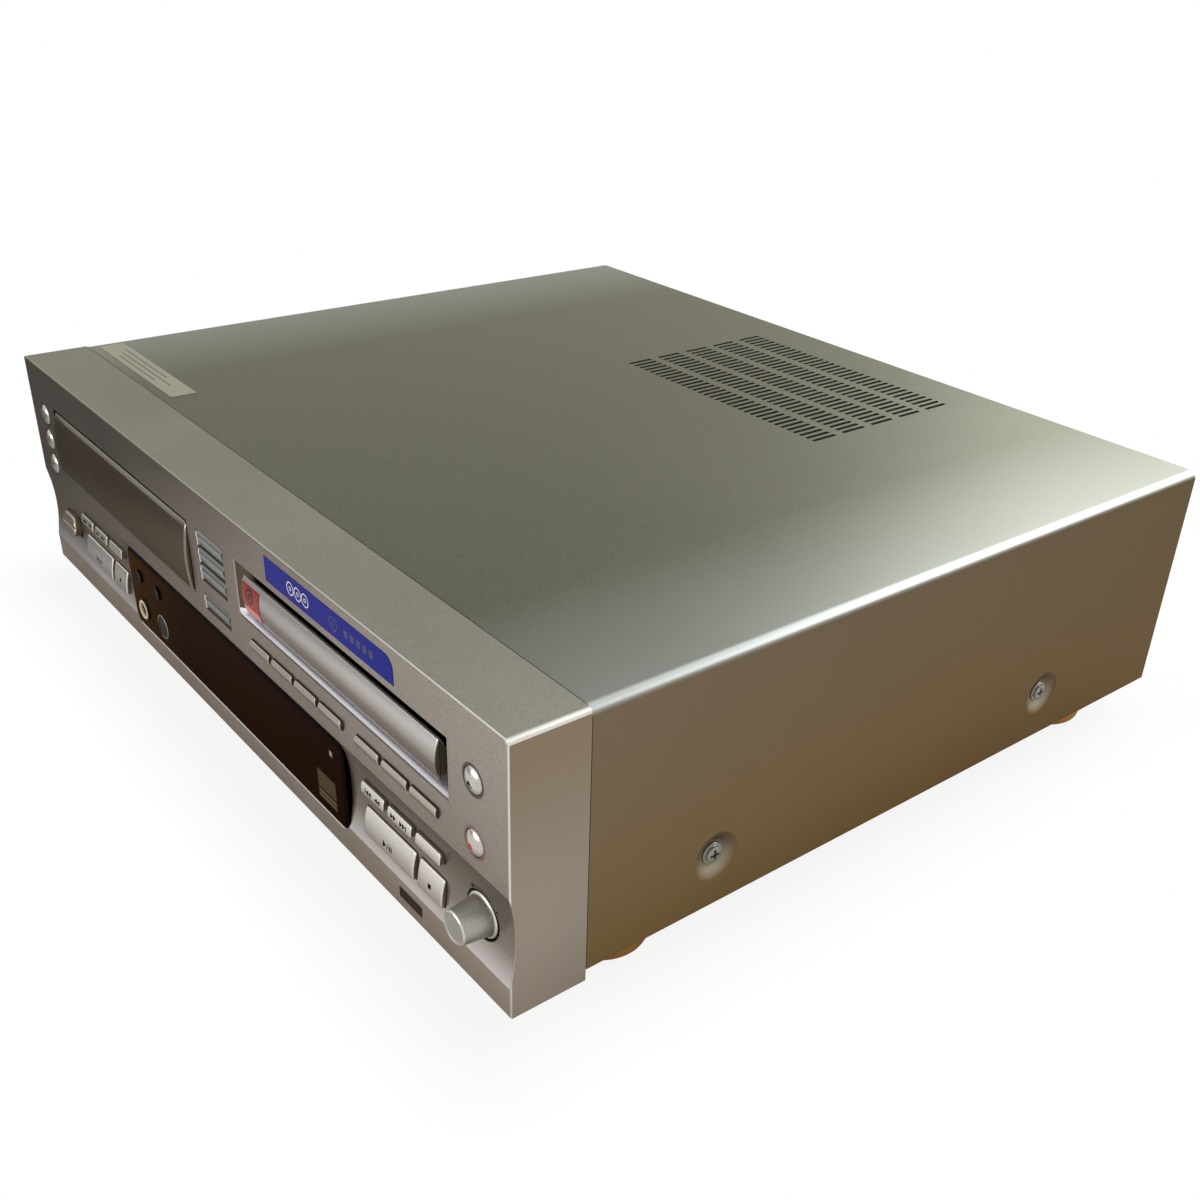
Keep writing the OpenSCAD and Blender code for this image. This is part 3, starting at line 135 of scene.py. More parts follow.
def node(tree, kind, sockets=None, **settings):
    """Adds a node to a graph. A socket takes a plain value, or the output of another node."""
    made = tree.nodes.new(kind)
    for name, value in settings.items():
        setattr(made, name, value)
    for key, value in (sockets or {}).items():
        if isinstance(value, bpy.types.NodeSocket):
            tree.links.new(value, made.inputs[key])
        else:
            made.inputs[key].default_value = value
    return made


def blend(tree, share, first, second):
    """Mixes two colours: first where share is 0, second where it is 1."""
    return node(tree, "ShaderNodeMix", {0: share, 6: first, 7: second}, data_type="RGBA").outputs[2]


def between(tree, value, start, end, low=0.0, high=1.0):
    """Carries a value from the span start..end to the span low..high, and holds it at the ends."""
    ends = {"Value": value, "From Min": start, "From Max": end, "To Min": low, "To Max": high}
    return node(tree, "ShaderNodeMapRange", ends).outputs[0]


def span(tree, value, start, end):
    """0 at one place on the deck, 1 at another, and even between them; both are in millimetres."""
    return between(tree, value, start * MM, end * MM)


def figure(tree, operation, *values):
    """Sum, product or largest of several values, as a chain of nodes that take two at a time."""
    def pair(first, second):
        return node(tree, "ShaderNodeMath", {0: first, 1: second}, operation=operation).outputs[0]
    return reduce(pair, values)


def axes(tree, place):
    """The x, y and z of a place, as three wires."""
    return tuple(node(tree, "ShaderNodeSeparateXYZ", {0: place}).outputs)[:3]


NOISE_SPAN = (0.3, 0.7)


def noise(tree, place, size, detail=2.0):
    """Soft noise whose blobs are about size millimetres across; most of it lies within NOISE_SPAN."""
    look = {"Vector": place, "Scale": 1 / (size * MM), "Detail": detail}
    return node(tree, "ShaderNodeTexNoise", look).outputs[0]


print("helpers: rgb, node, blend, between, span, figure, axes, noise")

# %% [markdown]
# ## The stage
# The deck stands on a pale floor in a white room. The floor turns from plain matt paint near the deck,
# where it takes the shadow, to pure white further out, so that no horizon shows. Mirrors see that white
# too, dimmer at the left; the soft light that reaches matt paint comes from the lamps and a dim sky.

# %% Floor and room
FLOOR_REACH = 6.0
FLOOR_DROP = 0.0002

radius = np.concatenate([[0.0], np.geomspace(0.3, FLOOR_REACH, 12)])
angle = np.linspace(0, 2 * np.pi, 48, endpoint=False)
ring_x = np.outer(radius, np.cos(angle))
ring_y = np.outer(radius, np.sin(angle))
floor_points = np.stack([ring_x, ring_y, np.full_like(ring_x, -FLOOR_DROP)], -1).reshape(-1, 3)
index = np.arange(len(floor_points)).reshape(len(radius), len(angle))
floor_quads = np.stack([index[:-1], index[1:], np.roll(index[1:], -1, 1), np.roll(index[:-1], -1, 1)], -1)
floor_mesh = bpy.data.meshes.new("floor")
floor_mesh.from_pydata(floor_points.tolist(), [], floor_quads.reshape(-1, 4).tolist())
floor_form = bmesh.new()
floor_form.from_mesh(floor_mesh)
bmesh.ops.remove_doubles(floor_form, verts=floor_form.verts, dist=1e-6)
floor_form.to_mesh(floor_mesh)
floor_form.free()
floor = bpy.data.objects.new("floor", floor_mesh)
scene.collection.objects.link(floor)


def rays(tree):
    """Two marks: 1 for a ray straight from the camera or through glass, and 1 for a ray off a mirror."""
    path = node(tree, "ShaderNodeLightPath")
    straight = figure(tree, "MAXIMUM", path.outputs["Is Camera Ray"], path.outputs["Is Transmission Ray"])
    return straight, path.outputs["Is Glossy Ray"]


FOOTPRINT = (cad_box[1][0], cad_box[1][1], 0.0)
EYE_START = 0.88
EYE_REACH = 0.035
MIRROR_REACH = 0.06
DIM_LEFT = -0.36
DIM_RIGHT = -0.10
DIM_SHARE = 0.10
SPECKLE = 40.0


def vector_step(tree, operation, *vectors):
    """One step of arithmetic on whole vectors."""
    sockets = dict(enumerate(vectors))
    return node(tree, "ShaderNodeVectorMath", sockets, operation=operation)


def floor_finish():
    """Matt cream paint round the deck, fading with distance from its footprint into white.

    The eye finds white sooner than a mirror does, and a mirror finds the left half of the floor dimmer.
    """
    paint = bpy.data.materials.new("floor_paint")
    paint.use_nodes = True
    tree = paint.node_tree
    tree.nodes.clear()
    place = node(tree, "ShaderNodeTexCoord").outputs["Object"]
    mirrored = vector_step(tree, "ABSOLUTE", place).outputs[0]
    beyond = vector_step(tree, "SUBTRACT", mirrored, FOOTPRINT).outputs[0]
    outside = vector_step(tree, "MAXIMUM", beyond, (0, 0, 0)).outputs[0]
    away = vector_step(tree, "LENGTH", outside).outputs["Value"]
    speckle = between(tree, noise(tree, place, SPECKLE), *NOISE_SPAN)
    cream = blend(tree, speckle, rgb(236, 230, 220), rgb(240, 234, 225))
    matt = node(tree, "ShaderNodeBsdfDiffuse", {"Color": cream})
    straight, mirror = rays(tree)
    dimmed = between(tree, axes(tree, place)[0], DIM_LEFT, DIM_RIGHT, DIM_SHARE, 1.0)
    level = figure(tree, "MAXIMUM", straight, dimmed)
    white = node(tree, "ShaderNodeEmission", {"Color": (1, 1, 1, 1), "Strength": level})
    to_eye = figure(tree, "MULTIPLY", straight, between(tree, away, 0.0, EYE_REACH, EYE_START, 1.0))
    to_mirror = figure(tree, "MULTIPLY", mirror, between(tree, away, 0.0, MIRROR_REACH))
    share = figure(tree, "ADD", to_eye, to_mirror)
    both = node(tree, "ShaderNodeMixShader", {0: share, 1: matt.outputs[0], 2: white.outputs[0]})
    node(tree, "ShaderNodeOutputMaterial", {"Surface": both.outputs[0]})
    return paint


floor.data.materials.append(floor_finish())

SKY_LIGHT = 0.26
room = bpy.data.worlds.new("room")
scene.world = room
room.use_nodes = True
sky = room.node_tree
sky.nodes.clear()
dim = between(sky, figure(sky, "MAXIMUM", *rays(sky)), 0.0, 1.0, SKY_LIGHT, 1.0)
glow = node(sky, "ShaderNodeBackground", {"Color": (1, 1, 1, 1), "Strength": dim})
node(sky, "ShaderNodeOutputWorld", {"Surface": glow.outputs[0]})
print("stage: floor", FLOOR_REACH, "m in radius, white room")

# %% [markdown]
# ## Lamps
# Satin metal shows the lamps as soft streaks, so each lamp is a large softbox. A warm one at the front
# left brightens everything that tips upwards; a cool one behind, to the right, draws the pale line
# along the folded edge of the cover; a low amber one warms the lower part of the right side, and is kept
# out of mirrors, so that the knobs don't show it.


# %% Lamps
def softbox(name, place, target, width, height, colour, watts):
    """A rectangular lamp at a place, facing a target."""
    lamp = bpy.data.lights.new(name, "AREA")
    lamp.shape = "RECTANGLE"
    lamp.size = width
    lamp.size_y = height
    lamp.color = colour
    lamp.energy = watts
    holder = bpy.data.objects.new(name, lamp)
    holder.location = place
    holder.rotation_euler = (Vector(target) - Vector(place)).to_track_quat("-Z", "Y").to_euler()
    scene.collection.objects.link(holder)
    return holder


WARM_WHITE = (1.0, 0.97, 0.94)
COOL_WHITE = (0.90, 0.96, 1.0)
AMBER = (1.0, 0.68, 0.34)
softbox("front_softbox", (-0.25, -1.45, 0.32), (0.0, -0.18, 0.06), 0.9, 0.5, WARM_WHITE, 8)
softbox("back_softbox", (0.22, 1.30, 1.00), (0.10, 0.0, 0.1), 2.2, 0.8, COOL_WHITE, 34)
side_glow = softbox("side_glow", (0.95, 0.25, 0.10), (0.21, 0.10, 0.03), 0.8, 0.2, AMBER, 2.0)
side_glow.visible_glossy = False
print("lamps: front, back, side")

# %% [markdown]
# ## Finishes
# Most of the deck is sprayed metal: a base colour, a share of metal, fine grain in the paint that only
# a raking light shows, and faint clouds of wear in both colour and gloss. All patterns are laid in
# object coordinates, which at rest are simply places on the deck.


# %% One recipe for painted and moulded surfaces
GLOSS_CLOUD = 0.06


def finish(name, colour, rough, metal=0.0, grain=0.5, relief=0.01, cloud=0.04, cloud_size=60.0,
           **sockets):
    """Clouded colour and gloss over a fine grain. colour is a tuple, or a function of (tree, place).

    The grain is noise of that size in millimetres, pushed in by relief millimetres as bump.
    """
    material = bpy.data.materials.new(name)
    material.use_nodes = True
    tree = material.node_tree
    skin = tree.nodes["Principled BSDF"]
    place = node(tree, "ShaderNodeTexCoord").outputs["Object"]
    clouds = noise(tree, place, cloud_size, 4.0)
    base = colour(tree, place) if callable(colour) else colour
    level = between(tree, clouds, *NOISE_SPAN, 1 - cloud, 1 + cloud)
    shade = node(tree, "ShaderNodeHueSaturation", {"Color": base, "Value": level})
    tree.links.new(shade.outputs[0], skin.inputs["Base Color"])
    gloss = between(tree, clouds, *NOISE_SPAN, rough * (1 - GLOSS_CLOUD), rough * (1 + GLOSS_CLOUD))
    tree.links.new(gloss, skin.inputs["Roughness"])
    bump = node(tree, "ShaderNodeBump", {"Height": noise(tree, place, grain), "Distance": relief * MM})
    tree.links.new(bump.outputs[0], skin.inputs["Normal"])
    skin.inputs["Metallic"].default_value = metal
    for key, value in sockets.items():
        skin.inputs[key.replace("_", " ")].default_value = value
    return material


def flakes(first, second, size=0.45):
    """Metal paint: tiny cells, each with its own tone between two colours."""
    def colour(tree, place):
        cells = node(tree, "ShaderNodeTexVoronoi", {"Vector": place, "Scale": 1 / (size * MM)})
        tone = node(tree, "ShaderNodeSeparateColor", {0: cells.outputs["Color"]}).outputs[0]
        return blend(tree, tone, first, second)
    return colour


def along(axis, start, end, first, second):
    """A colour that runs from first to second between two places (mm) on an axis, 0, 1 or 2."""
    def colour(tree, place):
        return blend(tree, span(tree, axes(tree, place)[axis], start, end), first, second)
    return colour


TOP_SKIN = 0.8
SIDE_X = cad_box[1][0] / MM
SIDE_SKIN = 0.8


def skin_share(tree, value, face, depth):
    """1 within depth millimetres of an outer face of the deck, falling to 0 further in."""
    return span(tree, value, face - depth, face - 0.1)


def deck_axes(tree, place):
    """The distance from the middle plane, and y and z, of a point of the deck."""
    x, y, z = axes(tree, place)
    return figure(tree, "MAXIMUM", x, figure(tree, "MULTIPLY", x, -1.0)), y, z


print("recipes: finish, flakes, along")

# %% [markdown]
# A large part has more than one tone, and most of them are painted light: a panel is painted paler where
# it tips upwards, warmer on its ends as a painted reflection, and bright along its edges as painted
# highlights. Each tone passes into the next over a span, given as two places in millimetres, along the
# depth, the width or the height of the deck.

# %% Tones of the panel, the cover and the door
RECESS_LEFT, RECESS_RIGHT = 24.5, 177.1
RECESS_FOOT, RECESS_HEAD = 76.6, 100.8
RECESS_SILL = 79.3
RECESS_SOFT = 0.4


def recess_tones(tree, place, front):
    """The tray's hollow: a painted highlight on the sill below, and painted shade on its other walls."""
    x, y, z = axes(tree, place)
    deep = span(tree, y, FRONT + 0.15, FRONT + RECESS_SOFT)
    inside = figure(tree, "MULTIPLY", span(tree, x, RECESS_LEFT, RECESS_LEFT + RECESS_SOFT),
                    span(tree, x, RECESS_RIGHT, RECESS_RIGHT - RECESS_SOFT),
                    span(tree, z, RECESS_FOOT, RECESS_FOOT + RECESS_SOFT),
                    span(tree, z, RECESS_HEAD, RECESS_HEAD - RECESS_SOFT))
    # Painted highlight on the sill, painted shade on the walls.
    sill = span(tree, z, RECESS_SILL + 0.1, RECESS_SILL - 0.1)
    walls = blend(tree, sill, rgb(86, 76, 64), rgb(232, 232, 238))
    return blend(tree, figure(tree, "MULTIPLY", deep, inside), front, walls)


SCOOP_FOOT = (34.0, 23.0)
LOWER_PLATE = (21.5, 21.1)
TOP_STRIP = (-200.0, 140.0)
END_RISE = (10.0, 110.0)
HIGHLIGHT_CORNER = (208.2, 209.0)
HIGHLIGHT_HEIGHT = (115.2, 116.0)
EDGE_LENGTH = (-60.0, 180.0)
EDGE_HEIGHT = (116.6, 116.8)
END_EDGE = (209.5, 209.7)
END_FACE = (209.99, 209.98)


def panel_tones(tree, place):
    """Silver flakes on the front; a top strip painted greener and paler at the left, and ends painted
    warmer, as painted light and painted reflection.

    The foot of the scoop, which tips upwards, is painted pale as a highlight, the plate below it paler
    too, and the front's edges and top corners carry painted highlights.
    """
    across, y, z = deck_axes(tree, place)
    x = axes(tree, place)[0]
    flat = flakes(rgb(162, 153, 145), rgb(178, 169, 161))(tree, place)
    # Painted highlight on the foot of the scoop, which tips upwards; the plate below is painted paler too.
    foot = blend(tree, span(tree, z, *SCOOP_FOOT), flat, rgb(222, 217, 217))
    plate = blend(tree, span(tree, z, *LOWER_PLATE), foot, rgb(214, 203, 193))
    front = recess_tones(tree, place, plate)
    # The top strip is painted greener, and paler at the left: painted light.
    pale = flakes(rgb(168, 167, 153), rgb(180, 179, 165))(tree, place)
    plain = flakes(rgb(140, 138, 126), rgb(152, 150, 138))(tree, place)
    above = blend(tree, span(tree, x, *TOP_STRIP), pale, plain)
    # Both ends painted warmer and darker upwards: a painted reflection of a warm floor.
    ends = blend(tree, span(tree, z, *END_RISE), rgb(166, 157, 146), rgb(134, 119, 100))
    sides = blend(tree, skin_share(tree, across, SIDE_X, SIDE_SKIN), front, ends)
    tones = blend(tree, skin_share(tree, z, TOP, TOP_SKIN), sides, above)
    # Painted highlights along the top corners, the top front edge and the edges of the ends.
    corner = figure(tree, "MULTIPLY", span(tree, across, *HIGHLIGHT_CORNER), span(tree, z, *HIGHLIGHT_HEIGHT))
    top_edge = figure(tree, "MULTIPLY", span(tree, y, FRONT + 0.6, FRONT + 0.4),
                      span(tree, x, *EDGE_LENGTH), span(tree, z, *EDGE_HEIGHT))
    end_edge = figure(tree, "MULTIPLY", span(tree, across, *END_EDGE), span(tree, across, *END_FACE))
    edge_highlight = figure(tree, "MAXIMUM", end_edge, top_edge, corner)
    return blend(tree, edge_highlight, tones, rgb(212, 210, 203))


SEAT_LOW, SEAT_HIGH = box("cover_screws")
SEAT_Z = (SEAT_LOW[2] + SEAT_HIGH[2]) / 2
SEAT_REACH = 8.0
COVER_SKIN = 0.9
COVER_SHINE = (140.0, 207.0)
COVER_BEND = (206.2, 207.4)
COVER_WALL = (110.0, 108.0)
COVER_RISE = (13.0, 113.0)
COVER_DEPTH = (-150.0, 180.0)


def cover_tones(tree, place):
    """Grey flakes on top, paler at both side edges as painted sheen, a painted highlight on the bend,
    and sides painted bronze, deeper downwards and backwards: a painted reflection of a warm floor.

    A screw's seat, which is pressed into the side, is painted dark above and grey below: painted shade
    and painted reflection.
    """
    across, y, z = deck_axes(tree, place)
    top = flakes(rgb(80, 79, 69), rgb(92, 91, 81), 0.6)(tree, place)
    # Paler towards both side edges: painted sheen.
    top = blend(tree, span(tree, across, *COVER_SHINE), top, rgb(126, 127, 121))
    # The sides are painted bronze, deeper downwards and backwards: a painted reflection of a warm floor.
    up = span(tree, z, *COVER_RISE)
    fore = blend(tree, up, rgb(116, 94, 58), rgb(113, 99, 80))
    back = blend(tree, up, rgb(88, 60, 22), rgb(84, 67, 38))
    side = blend(tree, span(tree, y, *COVER_DEPTH), fore, back)
    # Each screw's seat is painted dark above and grey below: painted shade and painted reflection.
    down = span(tree, z, SEAT_Z + SEAT_REACH, SEAT_Z - SEAT_REACH)
    seat = blend(tree, down, rgb(62, 46, 24), rgb(150, 144, 128))
    side = blend(tree, span(tree, across, SIDE_X - 0.1, SIDE_X - 1.6), side, seat)
    # A painted highlight along the bend.
    bend = blend(tree, span(tree, across, *COVER_BEND), top, rgb(168, 171, 168))
    wall = span(tree, z, *COVER_WALL)
    upright = figure(tree, "MAXIMUM", skin_share(tree, across, SIDE_X, COVER_SKIN), wall)
    return blend(tree, upright, bend, side)


DOOR_BAND = 96.1
DOOR_FOOT = 68.5


def door_tones(tree, place):
    """Dark silver, with painted highlights: a paler band along the top edge, a pale line along the foot."""
    z = axes(tree, place)[2]
    face = flakes(rgb(128, 118, 106), rgb(142, 132, 120), 0.35)(tree, place)
    band = blend(tree, span(tree, z, DOOR_BAND - 0.2, DOOR_BAND), face, rgb(152, 146, 138))
    return blend(tree, span(tree, z, DOOR_FOOT, DOOR_FOOT - 0.2), band, rgb(220, 216, 208))


print("tones: panel, cover, door")

# %% [markdown]
# Now the paints themselves. A metal mirrors more light at a low angle; a dark tint on that light keeps
# the panel and its keys from turning white where we look along them.

# %% Painted metals
PANEL_TINT = (0.18, 0.17, 0.16, 1.0)
KEY_TINT = (0.05, 0.05, 0.05, 1.0)
COVER_TINT = (0.72, 0.70, 0.54, 1.0)
panel_paint = finish("panel_paint", panel_tones, 0.30, 0.9, grain=0.4, relief=0.006,
                     Specular_Tint=PANEL_TINT)
cover_paint = finish("cover_paint", cover_tones, 0.40, 0.6, grain=0.55, relief=0.018, cloud=0.05,
                     cloud_size=90.0, Specular_Tint=COVER_TINT)
door_paint = finish("door_paint", door_tones, 0.26, 0.85, grain=0.4, relief=0.003, Specular_Tint=PANEL_TINT)
key_paint = finish("key_paint", flakes(rgb(214, 209, 203), rgb(226, 221, 215), 0.3), 0.26, 0.8,
                   grain=0.3, relief=0.004, Specular_Tint=KEY_TINT)
small_paint = finish("small_paint", flakes(rgb(176, 167, 158), rgb(190, 181, 172), 0.3), 0.28, 0.8,
                     grain=0.3, relief=0.004, Specular_Tint=PANEL_TINT)
# The walls of the keys are painted darker than their faces: painted shade from the gaps round them.
small_side_shade = finish("small_side_shade", rgb(78, 71, 62), 0.45, 0.2, grain=0.4, relief=0.006)
dome_paint = finish("dome_paint", flakes(rgb(186, 181, 174), rgb(198, 193, 186), 0.3), 0.22, 0.85,
                    grain=0.3, relief=0.003)
key_side_shade = finish("key_side_shade", rgb(108, 101, 91), 0.45, 0.2, grain=0.4, relief=0.006)
power_side_shade = finish("power_side_shade", rgb(116, 100, 78), 0.4, 0.4, grain=0.4, relief=0.006)
# Painted shade: a near-black finish for the shadow in the gaps round keys, the door and the jog knob's
# seat.
gap_shade = finish("gap_shade", rgb(20, 18, 16), 0.6, grain=0.5, relief=0.01, Specular_IOR_Level=0.1)
# Painted shade in the gaps round the disc keys, in a lighter grey; the same grey marks the pointer notch on
# the knobs.
grey_shade_and_notch = finish("grey_shade_and_notch", rgb(96, 92, 86), 0.6, grain=0.5, relief=0.01, Specular_IOR_Level=0.1)
jog_metal = finish("jog_metal", flakes(rgb(158, 156, 150), rgb(172, 170, 164), 0.3), 0.34, 0.85,
                   grain=0.3, relief=0.005)
bright_metal = finish("bright_metal", rgb(206, 202, 192), 0.22, 0.95, grain=0.4, relief=0.002)
print("paints: panel, cover, door, key, gap, jog, bright metal")

# %% [markdown]
# The other finishes follow the same recipe. The window is smoked acrylic, painted amber at its left end
# for light that leaks in there, dark brown along the rest, and black along its top and right edge.


# %% Window, plastics and inner metals
WINDOW_LOW, WINDOW_HIGH = box("display_window")
WINDOW_FLANGE = 2.4
WINDOW_LEFT = WINDOW_LOW[0] + WINDOW_FLANGE
WINDOW_RIGHT = WINDOW_HIGH[0] - WINDOW_FLANGE
WINDOW_BOTTOM = WINDOW_LOW[2] + WINDOW_FLANGE
WINDOW_TOP = WINDOW_HIGH[2] - WINDOW_FLANGE
BORDER = 3.2
AMBER_REACH = 58


def smoked(tree, place):
    """Painted amber light at the left end, brown beyond, and a black border along the top and right edge.
    """
    x, _, z = axes(tree, place)
    inward = span(tree, x, WINDOW_LEFT, WINDOW_LEFT + AMBER_REACH)
    brown = blend(tree, inward, rgb(60, 34, 0), rgb(34, 12, 0))
    upper = span(tree, z, WINDOW_TOP - BORDER, WINDOW_TOP - BORDER + 1.2)
    right = span(tree, x, WINDOW_RIGHT - BORDER, WINDOW_RIGHT - BORDER + 0.5)
    return blend(tree, figure(tree, "MAXIMUM", upper, right), brown, rgb(8, 6, 5))


window_acrylic = finish("window_acrylic", smoked, 0.16, grain=6.0, relief=0.002, cloud=0.08,
                        Specular_IOR_Level=0.003)
zinc_plate = finish("zinc_plate", flakes(rgb(166, 168, 168), rgb(184, 185, 184), 3.0), 0.34, 0.85,
                    relief=0.004)
foot_gilt = finish("foot_gilt", flakes(rgb(172, 128, 54), rgb(188, 142, 66), 0.5), 0.24, 0.9, relief=0.003)
felt = finish("felt", flakes(rgb(34, 33, 32), rgb(52, 50, 48), 0.5), 0.95, grain=0.4, relief=0.15)
screw_steel = finish("screw_steel", flakes(rgb(128, 127, 120), rgb(146, 144, 137), 0.4), 0.26, 0.95,
                     relief=0.003)
tray_plastic = finish("tray_plastic", rgb(38, 38, 40), 0.42, grain=0.7, relief=0.02)
frame_plastic = finish("frame_plastic", rgb(70, 70, 73), 0.5, grain=0.8, relief=0.03)
gear_plastic = finish("gear_plastic", rgb(226, 220, 204), 0.38, grain=0.8, relief=0.01)
spindle_metal = finish("spindle_metal", rgb(196, 196, 198), 0.2, 0.95, grain=0.6, relief=0.002)
pickup_black = finish("pickup_black", along(2, 60.0, 64.0, rgb(28, 28, 30), rgb(46, 46, 50)), 0.4,
                      relief=0.01)
cream_plastic = finish("cream_plastic", rgb(226, 214, 184), 0.32, grain=0.6, relief=0.006)
knob_black = finish("knob_black", rgb(11, 9, 7), 0.38, grain=0.5, relief=0.008, Specular_IOR_Level=0.05)
knob_grey = finish("knob_grey", rgb(34, 32, 26), 0.4, grain=0.5, relief=0.008, Specular_IOR_Level=0.06)
socket_black = finish("socket_black", rgb(30, 30, 30), 0.45, grain=0.6, relief=0.015)
key_smoke = finish("key_smoke", along(2, 60.0, 98.0, rgb(96, 101, 99), rgb(112, 117, 114)), 0.2,
                   grain=0.8, relief=0.004, Coat_Weight=0.4, Coat_Roughness=0.1)
print("finishes:", len(bpy.data.materials), "materials so far")

# %% [markdown]
# Three finishes need a pattern of their own. A printed board is green lacquer over copper tracks, drawn
# by a brick texture whose mortar is the track; the transformer is a stack of thin iron plates, drawn by
# bands along one axis; the line sockets are black blocks whose tubes, outside the rear face, are gilt.

# %% Boards, transformer and sockets
REAR = box("rear_panel")[1][1]


def tracks(tree, place):
    """Green lacquer, paler over the tracks, which are the mortar of a brick pattern."""
    turned_place = {"Vector": place, "Rotation": (0.6, 0.6, 0.0), "Scale": (90.0,) * 3}
    flat = node(tree, "ShaderNodeMapping", turned_place).outputs[0]
    lacquer = {"Color1": rgb(24, 70, 36), "Color2": rgb(30, 82, 42), "Mortar": rgb(96, 132, 74)}
    brick = node(tree, "ShaderNodeTexBrick", {"Vector": flat, "Mortar Size": 0.05, "Scale": 1.0, **lacquer})
    return brick.outputs["Color"]


def plates(tree, place):
    """Thin iron plates with dark lacquer between them: bands along x."""
    bands = node(tree, "ShaderNodeTexWave", {"Vector": place, "Scale": 320.0, "Distortion": 0.3})
    return blend(tree, bands.outputs["Fac"], rgb(58, 50, 42), rgb(120, 110, 98))


def socket_parts(tree, place):
    """Black moulding up to the rear face, gilt tubes beyond it."""
    outside = span(tree, axes(tree, place)[1], REAR + 0.1, REAR + 0.3)
    return blend(tree, outside, rgb(26, 26, 26), rgb(206, 168, 90))


board_lacquer = finish("board_lacquer", tracks, 0.35, grain=1.5, relief=0.02)
iron_plates = finish("iron_plates", plates, 0.42, 0.5, relief=0.01)
socket_shells = finish("socket_shells", socket_parts, 0.3, 0.35, relief=0.004)
print("patterned finishes: board, transformer, sockets")

# %% [markdown]
# ## Carried-over parts
# Parts whose CAD shape is already right, such as the folded cover or the panel with its scoop, keep
# their mesh. We only hand them one of the finishes above, slot by slot.

# %% Dress the carried-over parts
DRESSED = {
    panel_paint: ["front_bezel"],
    cover_paint: ["top_cover"],
    window_acrylic: ["display_window"],
    zinc_plate: ["bottom_chassis", "rear_panel"],
    felt: ["foot_pads"],
    tray_plastic: ["changer_tray", "changer_lower_trays", "recorder_tray"],
    frame_plastic: ["changer_frame", "recorder_frame"],
    gear_plastic: ["changer_loading_gear", "recorder_loading_gear"],
    spindle_metal: ["changer_spindle", "recorder_spindle"],
    pickup_black: ["changer_pickup", "recorder_pickup"],
    board_lacquer: ["control_board", "main_board"],
    iron_plates: ["power_transformer"],
    socket_shells: ["line_sockets"],
    socket_black: ["optical_sockets", "mains_inlet"],
}
for material, names in DRESSED.items():
    for name in names:
        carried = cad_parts[name]
        if not carried.material_slots:
            carried.data.materials.append(material)
        for place in carried.material_slots:
            place.material = material
print("dressed:", sum(len(names) for names in DRESSED.values()), "carried-over parts")

# %% [markdown]
# ## Drawing pieces ring by ring
# Every new piece is a stack of closed rings, held in one array of shape (rings, points, 3): u to the
# right, v up and w outwards from its face, in millimetres. Neighbouring rings are joined by quads and
# the two end rings are closed. One array serves for keys, knobs, screws and printed signs alike.

# %% From rings to a piece
FACING = {
    "front": np.array([[1, 0, 0], [0, 0, -1], [0, 1, 0]]),
    "rear": np.array([[-1, 0, 0], [0, 0, 1], [0, 1, 0]]),
    "right": np.array([[0, 0, 1], [1, 0, 0], [0, 1, 0]]),
    "left": np.array([[0, 0, -1], [-1, 0, 0], [0, 1, 0]]),
    "top": np.eye(3),
}
SHARP = np.radians(34)


def placed(rings, middle, facing="front"):
    """Turns rings so that w points out of a side of the deck, and moves them to their middle."""
    return np.asarray(middle) + rings @ FACING[facing].T


def ring_faces(rings, first):
    """Quads between neighbouring rings, and a flat face over each end ring that isn't closed up."""
    count, points = rings.shape[:2]
    index = first + np.arange(count * points).reshape(count, points)
    quads = np.stack([index[:-1], np.roll(index[:-1], -1, 1), np.roll(index[1:], -1, 1), index[1:]], -1)
    faces = quads.reshape(-1, 4).tolist()
    if np.allclose(rings[0], rings[-1]):
        return faces
    for end in (0, -1):
        spread = np.linalg.svd(rings[end] - rings[end].mean(0), compute_uv=False)
        if spread[1] > 1e-4:
            faces.append(index[end].tolist())
    return faces


def piece(name, parts, body, replaces=()):
    """Makes one object from parts, and seats it on a body of the frame.

    A part is (rings, material), or (rings, material, skirt) with a finish for its first band of faces.
    """
    points, faces, kinds, materials = [], [], [], []
    for rings, *coats in parts:
        materials += [coat for coat in coats if coat not in materials]
        made = ring_faces(rings, sum(map(len, points)))
        points.append(rings.reshape(-1, 3))
        faces += made
        skirt = rings.shape[1] if len(coats) > 1 else 0
        kinds += [materials.index(coats[-1])] * skirt + [materials.index(coats[0])] * (len(made) - skirt)
    mesh = bpy.data.meshes.new(name)
    mesh.from_pydata((np.concatenate(points) * MM).tolist(), [], faces)
    mesh.polygons.foreach_set("material_index", kinds)
    for material in materials:
        mesh.materials.append(material)
    form = bmesh.new()
    form.from_mesh(mesh)
    bmesh.ops.remove_doubles(form, verts=form.verts, dist=1e-8)
    bmesh.ops.recalc_face_normals(form, faces=form.faces)
    form.to_mesh(mesh)
    form.free()
    mesh.polygons.foreach_set("use_smooth", [True] * len(mesh.polygons))
    mesh.set_sharp_from_angle(angle=SHARP)
    made = bpy.data.objects.new(name, mesh)
    scene.collection.objects.link(made)
    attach(made, body)
    if replaces:
        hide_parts(*replaces)
    print("piece:", name, len(mesh.polygons), "faces")
    return made


def trim(name, parts):
    """A piece that is fixed to the front panel."""
    return piece(name, parts, "chassis")


# %% [markdown]
# ## Keys
# A moulded key is a rounded rectangle with a soft edge and a face that swells a little from top to
# bottom. We draw it as a set of outlines, each further in: the first few turn through a quarter circle,
# the rest climb to the middle line. A face function says how far the swelling drops at each point.


